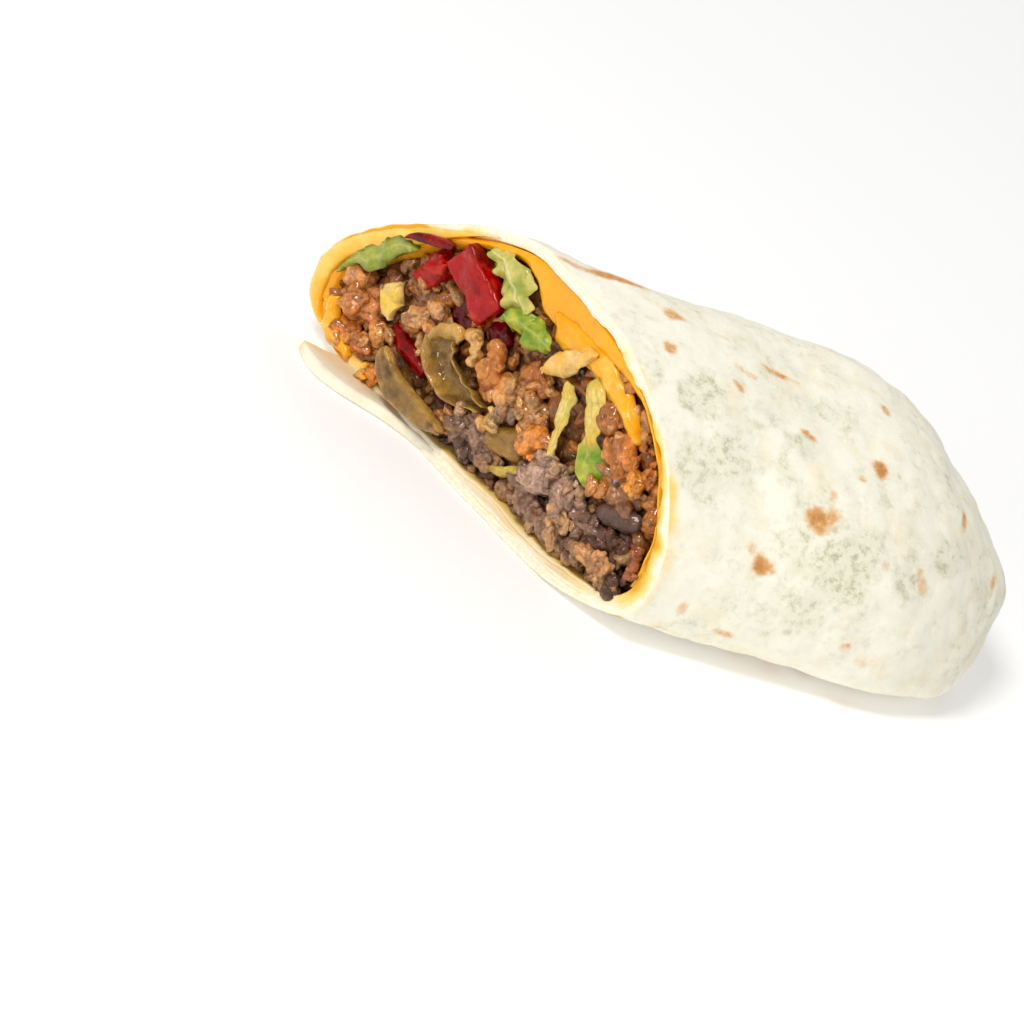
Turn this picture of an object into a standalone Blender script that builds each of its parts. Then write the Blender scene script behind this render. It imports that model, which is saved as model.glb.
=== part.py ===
"""Half of a filled burrito, cut on the bias and laid on its flat side.

The wrap is a flattened roll with a D-shaped section: a flat base of two layers and a dome.
Inside it run a lining of melted cheese, a layer of sauced minced beef and one of plain minced beef.
Tomato, jalapeno, lettuce, onion, pepper and a bean show in the cut, each partly sunk in the beef.

Lengths are millimetres in the code and metres in the meshes. X runs along the roll from the cut
to the closed end, Y points to the far side, where the cut's sharp tip is, and Z is up.
On the cut face, positions are (across, up, out): across is 0 on the roll's axis and grows towards the
near side, up is the height above the base, and out is 0 on the cut plane and grows away from the food.
"""

import math
import random

import bmesh
import bpy
import numpy as np
from mathutils import Euler, Vector

MM = 0.001
MERGE = 0.00002
SECTION_SIDES = 44
STATIONS = np.linspace(0.0, 1.0, 14)

# Size of the roll
BODY_WIDTH = 89.0
BODY_HEIGHT = 49.0
AXIS_LENGTH = 106.4
BIAS_ANGLE = math.radians(31.4)
CLOSED_END_X = 66.6
FAR_SHIFT = -0.5

# How the roll narrows to its closed end
SIDE_TAPER = 0.085
TOP_DROP = 0.077
WIDTH_REACH = 41.0
TOP_REACH = 46.0
BASE_REACH = 18.0
TIP_HEIGHT = 17.0
WIDTH_POWER = 2.5
TOP_POWER = 1.8
BASE_POWER = 2.0

# Shape of the section
WIDEST_AT = 0.29
FAR_ROUNDING = 1.45
NEAR_ROUNDING = 1.0
FAR_BASE_ROUNDING = 0.47
NEAR_BASE_ROUNDING = 0.45
BASE_CLIP = 1.2

# Layers
WRAP = 2.3
WRAP_BASE_FAR = 2.6
WRAP_BASE_NEAR = 5.2
GAP = 0.35
INNER_GAP = 0.7
FACE_RECESS = 2.6
FLAP_THICKNESS = 2.0
FLAP_LIFT = 0.25

# Fused crumbs
CRUMB_SMALLEST = 1.6
CRUMB_LARGEST = 3.0
CRUMB_SPACING = 1.35

SAUCED_COLOUR = (0.33, 0.14, 0.05)
PLAIN_COLOUR = (0.19, 0.12, 0.09)
WRAP_COLOUR = (0.86, 0.80, 0.64)
CHEESE_COLOUR = (0.90, 0.42, 0.04)
TOMATO_COLOUR = (0.45, 0.02, 0.02)
JALAPENO_COLOUR = (0.20, 0.16, 0.03)
LETTUCE_COLOUR = (0.30, 0.42, 0.07)
ONION_COLOUR = (0.80, 0.55, 0.25)
CRISPY_COLOUR = (0.60, 0.26, 0.07)
YELLOW_COLOUR = (0.80, 0.60, 0.10)
RED_ONION_COLOUR = (0.10, 0.02, 0.03)
BEAN_COLOUR = (0.10, 0.06, 0.04)


def clear_scene():
    for item in list(bpy.data.objects):
        bpy.data.objects.remove(item, do_unlink=True)


def make_material(name, colour, roughness):
    material = bpy.data.materials.new(name)
    material.use_nodes = True
    shader = material.node_tree.nodes["Principled BSDF"]
    shader.inputs["Base Color"].default_value = (*colour, 1.0)
    shader.inputs["Roughness"].default_value = roughness
    shader.inputs["Metallic"].default_value = 0.0
    return material


def add_object(name, points, faces, material=None):
    """A named mesh object from points in millimetres."""
    mesh = bpy.data.meshes.new(name)
    mesh.from_pydata([Vector(p) * MM for p in points], [], faces)
    mesh.update()
    item = bpy.data.objects.new(name, mesh)
    bpy.context.scene.collection.objects.link(item)
    if material:
        mesh.materials.append(material)
    return item


def smooth_step(value):
    value = np.clip(value, 0.0, 1.0)
    return value * value * (3.0 - 2.0 * value)


def end_share(x, end_x, reach, power):
    """1 along the roll, falling to 0 over its last reach in a rounded end."""
    depth = np.clip((x - end_x + reach) / reach, 0.0, 1.0)
    return (1.0 - depth**power) ** (1.0 / power)


def lumps(angle, along):
    """Low swellings of the wrap over its filling, none of them on the base."""
    swell = 0.55 * np.sin(3.1 * angle + 9.0 * along) + 0.45 * np.sin(5.3 * angle - 13.0 * along + 1.0)
    shoulder = 2.2 * np.exp(-(((angle - 1.25) / 0.55) ** 2) - ((along - 0.72) / 0.16) ** 2)
    hollow = -1.2 * np.exp(-(((angle - 2.75) / 0.4) ** 2) - ((along - 0.45) / 0.2) ** 2)
    return (swell + shoulder + hollow) * smooth_step(np.sin(angle) * 2.5)


def section_angles(first, last):
    """Angles round the section, spaced alike for every layer so that the layers' facets nest."""
    return np.arange(first, last + 1) * 2 * math.pi / SECTION_SIDES


def tucks(angle, station):
    """How far the folded-in closed end juts out or dips in along the roll."""
    nose = 2.2 * np.exp(-(((angle - 2.4) / 0.5) ** 2) - ((station - 0.9) / 0.1) ** 2)
    dent = -2.6 * np.exp(-(((angle - 1.75) / 0.45) ** 2) - ((station - 0.74) / 0.1) ** 2)
    return (nose + dent) * smooth_step((1.0 - station) / 0.12)


def wrap_thickness(angles):
    """How thick the wrap is round the section: thin at the far side, doubled over at the near side."""
    degrees = np.degrees(angles)
    far = np.exp(-(((degrees - 12.0) / 42.0) ** 2)) + np.exp(-(((degrees - 372.0) / 42.0) ** 2))
    near = np.exp(-(((degrees - 176.0) / 34.0) ** 2))
    return WRAP - 0.9 * far + 0.9 * near


def base_height(side):
    """How high the filling starts: the base is one layer at the far side and two from the middle on."""
    layers = smooth_step((0.5 - side) / 0.75) - 0.6 * smooth_step((-0.62 - side) / 0.3)
    return WRAP_BASE_FAR + (WRAP_BASE_NEAR - WRAP_BASE_FAR) * layers


def wrap_points(angles, stations, inset=0.0, lift=None, recess=0.0, end_gap=None):
    """Points of the wrap's outer surface, or of one inset into it: one row for each angle round the section.

    Angles go from the far side over the top to the near side and back along the base. Stations go
    from the cut at 0 to the closed end at 1. Inset is one value or one for each point. Lift is how far
    the surface's floor lies above the wrap's base layers, or None for the outer surface. Recess is how
    far the surface stops short of the cut, and end_gap how far it stops short of the closed end.
    """
    angle, station = np.meshgrid(angles, stations, indexing="ij")
    inset = np.broadcast_to(np.asarray(inset, float), angle.shape)
    cosine = np.cos(angle)
    sine = np.sin(angle)
    nearness = smooth_step(0.5 - 0.5 * cosine / 0.6)
    rounding = FAR_ROUNDING + (NEAR_ROUNDING - FAR_ROUNDING) * nearness
    side = np.sign(cosine) * np.abs(cosine) ** rounding
    end_x = CLOSED_END_X - (inset if end_gap is None else end_gap)
    cut_y = side * (BODY_WIDTH / 2 - inset)
    cut_x = CLOSED_END_X - AXIS_LENGTH - cut_y * math.tan(BIAS_ANGLE) + recess / math.cos(BIAS_ANGLE)
    x = cut_x + (end_x - cut_x) * (1.0 - (1.0 - station) ** 1.7)
    along = np.clip((x - CLOSED_END_X + AXIS_LENGTH) / AXIS_LENGTH, 0.0, 1.0)
    swell = lumps(angle, along)
    width = end_share(x, end_x, WIDTH_REACH, WIDTH_POWER)
    half = (BODY_WIDTH / 2 * (1.0 - SIDE_TAPER * along) - inset + swell * np.abs(cosine)) * width
    crown = BODY_HEIGHT * (1.0 - TOP_DROP * along) - inset + swell
    floor = 0.0 if lift is None else base_height(side) + lift
    top = TIP_HEIGHT + (crown - TIP_HEIGHT) * end_share(x, end_x, TOP_REACH, TOP_POWER)
    base = floor + (TIP_HEIGHT - floor) * (1.0 - end_share(x, end_x, BASE_REACH, BASE_POWER))
    widest = base + (top - base) * WIDEST_AT
    over = widest + (top - widest) * np.abs(sine) ** rounding
    corner = FAR_BASE_ROUNDING + (NEAR_BASE_ROUNDING - FAR_BASE_ROUNDING) * nearness
    under = widest - (widest - base + BASE_CLIP) * np.abs(sine) ** corner
    z = np.where(sine >= 0, over, np.maximum(under, base))
    return np.stack([x + tucks(angle, station), side * half + FAR_SHIFT, z], axis=-1)


def face_point(across, up, out):
    """The place on the cut face as X, Y, Z."""
    x = CLOSED_END_X - AXIS_LENGTH + across * math.sin(BIAS_ANGLE) - out * math.cos(BIAS_ANGLE)
    y = FAR_SHIFT - across * math.cos(BIAS_ANGLE) - out * math.sin(BIAS_ANGLE)
    return Vector((x, y, up))


def layer_insets(angles, stations, layers, gaps):
    """How deep a layer's surface lies in the wrap: under other layers, with gaps that widen out of sight."""
    thick = wrap_thickness(angles) + layers
    return thick[:, None] + gaps * (GAP + INNER_GAP * smooth_step(stations / 0.25))


def grid_faces(rows, columns, start=0, wrap_rows=True, flip=False):
    """Quads between neighbouring rows and columns of a grid of points."""
    faces = []
    for row in range(rows if wrap_rows else rows - 1):
        for column in range(columns - 1):
            a = start + row * columns + column
            b = start + (row + 1) % rows * columns + column
            quad = (a, a + 1, b + 1, b)
            faces.append(quad[::-1] if flip else quad)
    return faces


def closed_tube(points):
    """Points and faces of a tube of rings closed by a fan at each end."""
    rows, columns = points.shape[:2]
    flat = [tuple(p) for p in points.reshape(-1, 3)]
    faces = grid_faces(rows, columns)
    for column, flip in ((0, False), (columns - 1, True)):
        centre = len(flat)
        flat.append(tuple(points[:, column].mean(axis=0)))
        for row in range(rows):
            fan = (row * columns + column, (row + 1) % rows * columns + column, centre)
            faces.append(fan[::-1] if flip else fan)
    return flat, faces


def simplify(item):
    """Splits the faces into triangles and drops the shortest edges, unless that would open the surface."""
    for shortest in (MERGE, MERGE / 3, 0.0):
        mesh = bmesh.new()
        mesh.from_mesh(item.data)
        if shortest:
            bmesh.ops.dissolve_degenerate(mesh, edges=mesh.edges, dist=shortest)
        bmesh.ops.triangulate(mesh, faces=mesh.faces)
        closed = all(len(edge.link_faces) == 2 for edge in mesh.edges)
        if closed or not shortest:
            mesh.to_mesh(item.data)
        mesh.free()
        if closed:
            return item
    return item


def face_outwards(item):
    """Merges doubled points, splits the faces into triangles and turns every one outwards."""
    mesh = bmesh.new()
    mesh.from_mesh(item.data)
    bmesh.ops.remove_doubles(mesh, verts=mesh.verts, dist=MERGE)
    bmesh.ops.dissolve_degenerate(mesh, edges=mesh.edges, dist=MERGE)
    bmesh.ops.triangulate(mesh, faces=mesh.faces)
    bmesh.ops.recalc_face_normals(mesh, faces=mesh.faces)
    mesh.to_mesh(item.data)
    mesh.free()
    return item


def wrap_shell(material):
    """The folded wrap: an outer and an inner skin, joined round the cut."""
    angles = section_angles(0, SECTION_SIDES - 1)
    outer = wrap_points(angles, STATIONS)
    inner = wrap_points(angles, STATIONS, wrap_thickness(angles)[:, None], 0.0, 0.0, WRAP)
    rows, columns = outer.shape[:2]
    points = [tuple(p) for p in np.concatenate([outer.reshape(-1, 3), inner.reshape(-1, 3)])]
    shift = rows * columns
    faces = grid_faces(rows, columns) + grid_faces(rows, columns, shift, flip=True)
    for row in range(rows):
        a = row * columns
        b = (row + 1) % rows * columns
        faces.append((a, b, b + shift, a + shift))
    shell = face_outwards(add_object("tortilla", points, faces, material))
    flap = seam_flap()
    join(shell, [flap])
    return shell


def seam_flap():
    """The wrap's free edge, a ledge of the base layer that sticks out of the cut at its far corner."""
    front = [(-42.4, 5.4), (-41.2, 6.6), (-37.6, 8.2), (-32.6, 9.0)]
    front += [(-26.6, 7.4), (-18.9, 3.4), (-13.0, 1.5), (-6.0, 0.5)]
    back = [(-41.6, 4.6), (-38.4, 3.2), (-35.4, -1.0), (-31.6, -4.0)]
    back += [(-26.0, -4.0), (-18.0, -4.0), (-12.5, -4.0), (-6.0, -4.0)]
    rings = []
    for (across, out), (inner_across, inner_out) in zip(front, back):
        rings.append(
            [
                tuple(face_point(across, FLAP_LIFT, out - 0.2)),
                tuple(face_point(across, 1.0, out)),
                tuple(face_point(across + 0.2, FLAP_THICKNESS * 0.9, out - 0.5)),
                tuple(face_point(inner_across, FLAP_THICKNESS, inner_out)),
                tuple(face_point(inner_across, FLAP_LIFT, inner_out)),
            ]
        )
    points, faces = closed_tube(np.array(rings).transpose(1, 0, 2))
    return face_outwards(add_object("flap", points, faces))


def cheese_thickness(angles):
    """How thick the melted cheese is round the dome: thick at the far side and past the crown."""
    degrees = (np.degrees(angles) + 90.0) % 360.0 - 90.0
    far = 2.6 * np.exp(-(((degrees - 18.0) / 26.0) ** 2))
    crown = 5.0 * np.exp(-(((degrees - 99.0) / 13.0) ** 2))
    return (1.3 + far + crown) * smooth_step((np.sin(angles) + 0.95) / 0.4)


def cheese_lining(material):
    """The cheese, a curved layer under the dome that runs through the roll."""
    angles = section_angles(-4, 23)
    stations = STATIONS[:-2]
    room = layer_insets(angles, stations, 0.0, 1.0)
    thick = cheese_thickness(angles)[:, None]
    outer = wrap_points(angles, stations, room, GAP, 0.3, WRAP + 2 * GAP)
    inner = wrap_points(angles, stations, room + thick, GAP, 0.9, WRAP + 4.0)
    ring = np.concatenate([outer, inner[::-1]])
    points, faces = [tuple(p) for p in ring.reshape(-1, 3)], []
    rows, columns = ring.shape[:2]
    faces += grid_faces(rows, columns)
    half = rows // 2
    for column in (0, columns - 1):
        for row in range(half - 1):
            a = row * columns + column
            b = (rows - 1 - row) * columns + column
            faces.append((a, a + columns, b - columns, b))
    return face_outwards(add_object("cheese", points, faces, material))


def filling_core(name, recess):
    """The room inside the wrap and the cheese, as one closed solid."""
    angles = section_angles(0, SECTION_SIDES - 1)
    stations = STATIONS[:-2]
    insets = layer_insets(angles, stations, cheese_thickness(angles) + 0.4, 2.0)
    rings = wrap_points(angles, stations, insets, GAP, recess, WRAP + 6.0)
    points, faces = closed_tube(rings)
    return face_outwards(add_object(name, points, faces))


def layer_height(across):
    """Height on the cut face where the plain beef ends and the sauced beef begins."""
    swell = 4.6 * math.exp(-(((across + 1.0) / 7.0) ** 2)) + 6.0 * math.exp(-(((across - 25.0) / 8.0) ** 2))
    return 7.6 + 0.2 * across + swell - 7.5 * float(smooth_step((-10.0 - across) / 8.0))


def lower_room(lift):
    """A block that holds all the food under the boundary of the two beef layers, drawn along the roll."""
    rings = []
    for shift in np.linspace(-40.0, 160.0, 9):
        slide = Vector((shift, 0.0, 0.0))
        ring = [face_point(across, -60.0, 0.0) + slide for across in np.linspace(70.0, -70.0, 36)]
        for across in np.linspace(-70.0, 70.0, 36):
            height = layer_height(across) + lift + 0.7 * math.sin(shift * 0.13 + across * 0.2)
            ring.append(face_point(across, height, 0.0) + slide)
        rings.append([tuple(p) for p in ring])
    points, faces = closed_tube(np.array(rings).transpose(1, 0, 2))
    return face_outwards(add_object("room", points, faces))


def section_outline():
    """The outline of the room for the filling on the cut face, as (across, up) points."""
    angles = np.linspace(0.0, 2 * math.pi, 90, endpoint=False)
    inset = wrap_thickness(angles) + 2 * GAP + cheese_thickness(angles)
    points = wrap_points(angles, [0.0], inset[:, None], GAP)[:, 0]
    across = -(points[:, 1] - FAR_SHIFT) / math.cos(BIAS_ANGLE)
    return np.stack([across, points[:, 2]], axis=-1)


def is_inside(outline, across, up, margin):
    """Whether a disc of radius margin lies inside the outline."""
    ahead = np.roll(outline, -1, axis=0)
    crosses = (outline[:, 1] > up) != (ahead[:, 1] > up)
    rise = np.where(crosses, ahead[:, 1] - outline[:, 1], 1.0)
    at = outline[:, 0] + (up - outline[:, 1]) / rise * (ahead[:, 0] - outline[:, 0])
    inside = np.count_nonzero(crosses & (across < at)) % 2 == 1
    return inside and np.hypot(outline[:, 0] - across, outline[:, 1] - up).min() > margin


def crumb(rng, across, up, out, radius):
    """One crumb of minced beef, a jagged ball with twenty sides."""
    mesh = bmesh.new()
    bmesh.ops.create_icosphere(mesh, subdivisions=1, radius=radius * MM)
    stretch = Vector((rng.uniform(0.9, 1.08), rng.uniform(0.7, 1.0), rng.uniform(0.75, 1.05)))
    turn = Euler([rng.uniform(0, 6.28) for _ in range(3)]).to_matrix()
    centre = face_point(across, up, out) * MM
    for vert in mesh.verts:
        shape = Vector([c * s for c, s in zip(vert.co, stretch)]) * rng.uniform(0.86, 1.03)
        vert.co = turn @ shape + centre
    data = bpy.data.meshes.new("crumb")
    mesh.to_mesh(data)
    mesh.free()
    item = bpy.data.objects.new("crumb", data)
    bpy.context.scene.collection.objects.link(item)
    return item


def face_places(pieces):
    """Where the pieces lie on the cut face: the (across, up) of their points and of their faces' centres."""
    origin = face_point(0, 0, 0)
    right = face_point(1, 0, 0) - origin
    places = []
    for piece in pieces:
        for place in [v.co for v in piece.data.vertices] + [f.center for f in piece.data.polygons]:
            local = place / MM - origin
            places.append((local.dot(right), local.z))
    return np.array(places)


def scatter_crumbs(seed, belongs, large, taken):
    """Crumbs all over one beef layer's cut face: the large named ones first, then small ones between.

    Taken holds the places that the other pieces cover, which get no small crumbs.
    """
    rng = random.Random(seed)
    outline = section_outline()
    placed = [(across, up, radius) for across, up, radius, _ in large]
    crumbs = [crumb(rng, across, up, out, radius) for across, up, radius, out in large]
    for _ in range(2500):
        across = rng.uniform(-50.0, 50.0)
        up = rng.uniform(WRAP_BASE_FAR, 46.0)
        radius = rng.uniform(CRUMB_SMALLEST, CRUMB_LARGEST)
        clear = all(math.hypot(across - a, up - u) > (radius + r) / CRUMB_SPACING for a, u, r in placed)
        clear = clear and np.hypot(taken[:, 0] - across, taken[:, 1] - up).min() > radius * 0.75
        if clear and belongs(across, up, radius) and is_inside(outline, across, up, radius * 1.12 + 0.5):
            placed.append((across, up, radius))
            crumbs.append(crumb(rng, across, up, -FACE_RECESS - radius * rng.uniform(0.1, 0.45), radius))
    return crumbs


def boolean(item, others, operation, solver="EXACT"):
    """Applies one Boolean between an object and a collection of others, which are then removed."""
    group = bpy.data.collections.new("operands")
    for other in others:
        group.objects.link(other)
    modifier = item.modifiers.new("join", "BOOLEAN")
    modifier.operation = operation
    modifier.solver = solver
    modifier.operand_type = "COLLECTION"
    modifier.collection = group
    graph = bpy.context.evaluated_depsgraph_get()
    result = bpy.data.meshes.new_from_object(item.evaluated_get(graph))
    item.modifiers.clear()
    item.data = result
    simplify(item)
    for other in others:
        bpy.data.objects.remove(other, do_unlink=True)
    bpy.data.collections.remove(group)
    return item


def volume(item):
    """The volume an object's mesh encloses, or 0 when an edge isn't between exactly two faces."""
    mesh = bmesh.new()
    mesh.from_mesh(item.data)
    closed = all(len(edge.link_faces) == 2 for edge in mesh.edges)
    size = mesh.calc_volume() if closed else 0.0
    mesh.free()
    return size


def cut_pockets(item, pieces):
    """Cuts a pocket round each piece, by the other solver where the exact one leaves an open edge."""
    for piece in pieces:
        whole = item.data.copy()
        before = volume(item)
        for width, solver in ((1.0, "EXACT"), (1.1, "EXACT"), (1.0, "MANIFOLD"), (1.1, "MANIFOLD")):
            item.data = whole.copy()
            boolean(item, [grown(piece, GAP * width)], "DIFFERENCE", solver)
            if volume(item) > before * 0.9:
                break
    return item


def join(item, others):
    return boolean(item, others, "UNION")


def carve(item, others):
    return boolean(item, others, "DIFFERENCE")


def keep_largest(item):
    """Drops loose scraps that carving cut off."""
    mesh = bmesh.new()
    mesh.from_mesh(item.data)
    left = set(mesh.verts)
    groups = []
    while left:
        stack = [left.pop()]
        group = {stack[0]}
        while stack:
            for edge in stack.pop().link_edges:
                for vert in edge.verts:
                    if vert not in group:
                        group.add(vert)
                        stack.append(vert)
        left -= group
        groups.append(group)
    largest = max(groups, key=len)
    bmesh.ops.delete(mesh, geom=[v for v in mesh.verts if v not in largest], context="VERTS")
    mesh.to_mesh(item.data)
    mesh.free()
    return item


def add_copy(item):
    copy = bpy.data.objects.new("copy", item.data.copy())
    bpy.context.scene.collection.objects.link(copy)
    return copy


def grown(item, by):
    """A copy of a piece with every face moved out, which cuts the piece's pocket."""
    copy = add_copy(item)
    mesh = bmesh.new()
    mesh.from_mesh(copy.data)
    mesh.normal_update()
    moves = [vert.normal * by * MM * min(vert.calc_shell_factor(), 1.8) for vert in mesh.verts]
    for vert, move in zip(mesh.verts, moves):
        vert.co += move
    mesh.to_mesh(copy.data)
    mesh.free()
    return copy


def smooth_path(points, count):
    """A smooth line through a few (across, up, out) points, as places in space."""
    points = np.array(points, float)
    padded = np.concatenate([[2 * points[0] - points[1]], points, [2 * points[-1] - points[-2]]])
    spans = len(points) - 1
    path = []
    for value in np.linspace(0.0, spans, count):
        span = min(int(value), spans - 1)
        t = value - span
        p0, p1, p2, p3 = padded[span : span + 4]
        bend = 2 * p0 - 5 * p1 + 4 * p2 - p3
        path.append(0.5 * (2 * p1 + (p2 - p0) * t + bend * t * t + (3 * p1 - p0 - 3 * p2 + p3) * t**3))
    return path


def strip(name, route, width, depth, material, count=8, sides=6, blunt=0.45):
    """A strip along a route on the cut face: width lies in the face and depth goes into the food."""
    path = [face_point(*p) for p in smooth_path(route, count)]
    outwards = face_point(0, 0, 1) - face_point(0, 0, 0)
    rings = []
    for index, centre in enumerate(path):
        ahead = path[min(index + 1, count - 1)] - path[max(index - 1, 0)]
        across = ahead.cross(outwards).normalized()
        deep = across.cross(ahead).normalized()
        place = index / (count - 1)
        size = blunt + (1.0 - blunt) * math.sin(math.pi * place) ** 0.5
        ring = []
        for side in range(sides):
            turn = 2 * math.pi * (side + 0.5) / sides
            sideways = across * (math.cos(turn) * width / 2 * size)
            inwards = deep * (math.sin(turn) * depth / 2 * size)
            ring.append(centre + sideways + inwards)
        rings.append([tuple(p) for p in ring])
    points, faces = closed_tube(np.array(rings).transpose(1, 0, 2))
    return face_outwards(add_object(name, points, faces, material))


def slab(name, centre, size, turn, tilt, material):
    """A cut cube of vegetable with eased edges: size is along, across and thick, turn is in the face."""
    mesh = bmesh.new()
    bmesh.ops.create_cube(mesh, size=1.0)
    rng = random.Random(name)
    for vert in mesh.verts:
        vert.co = Vector([c * s * rng.uniform(0.88, 1.1) for c, s in zip(vert.co, size)])
    bmesh.ops.bevel(mesh, geom=mesh.edges, offset=min(size) * 0.18, segments=1, affect="EDGES")
    right = face_point(1, 0, 0) - face_point(0, 0, 0)
    outwards = face_point(0, 0, 1) - face_point(0, 0, 0)
    rotation = Euler((math.radians(tilt[0]), math.radians(tilt[1]), math.radians(turn))).to_matrix()
    for vert in mesh.verts:
        local = rotation @ vert.co
        vert.co = (face_point(*centre) + right * local.x + Vector((0, 0, local.y)) + outwards * local.z) * MM
    data = bpy.data.meshes.new(name)
    mesh.to_mesh(data)
    mesh.free()
    data.materials.append(material)
    item = bpy.data.objects.new(name, data)
    bpy.context.scene.collection.objects.link(item)
    return face_outwards(item)


def leaf(name, one_edge, other_edge, out, material, waves=0.5, thickness=0.7, bow=0.0, count=11, rows=5):
    """A plate between two edges drawn on the cut face, wavy like lettuce or bowed like a slice of pepper."""
    one = smooth_path([(*p, out) for p in one_edge], count)
    other = smooth_path([(*p, out) for p in other_edge], count)
    skins = {1: [], -1: []}
    for index in range(count):
        for row in range(rows):
            off = row / (rows - 1)
            across, up, _ = one[index] * (1.0 - off) + other[index] * off
            ruffle = waves * math.sin(index * 1.9 + off * 2.8) * (0.4 + 0.6 * abs(2 * off - 1))
            height = out + ruffle + bow * (1.0 - (2 * off - 1) ** 2)
            for side in skins:
                skins[side].append(tuple(face_point(across, up, height + side * thickness / 2)))
    points = skins[1] + skins[-1]
    shift = count * rows
    faces = []
    for index in range(count - 1):
        for row in range(rows - 1):
            a = index * rows + row
            for tri in ((a, a + 1, a + rows + 1), (a, a + rows + 1, a + rows)):
                faces += [tri, tuple(v + shift for v in reversed(tri))]
    rim = list(range(rows)) + [i * rows + rows - 1 for i in range(1, count)]
    rim += [(count - 1) * rows + row for row in range(rows - 2, -1, -1)]
    rim += [i * rows for i in range(count - 2, 0, -1)]
    for here, there in zip(rim, rim[1:] + rim[:1]):
        faces += [(there, here, here + shift), (there, here + shift, there + shift)]
    return face_outwards(add_object(name, points, faces, material))


def bean(name, centre, length, thickness, turn, material):
    """A whole bean lying in the cut."""
    angle = math.radians(turn)
    reach = (math.cos(angle) * length / 2, math.sin(angle) * length / 2)
    across, up, out = centre
    shares = (-1.0, -0.5, 0.0, 0.5, 1.0)
    route = [(across + reach[0] * s, up + reach[1] * s, out + 0.8 * (1 - s * s)) for s in shares]
    return strip(name, route, thickness, thickness * 0.9, material, count=9, sides=10, blunt=0.3)


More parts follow.
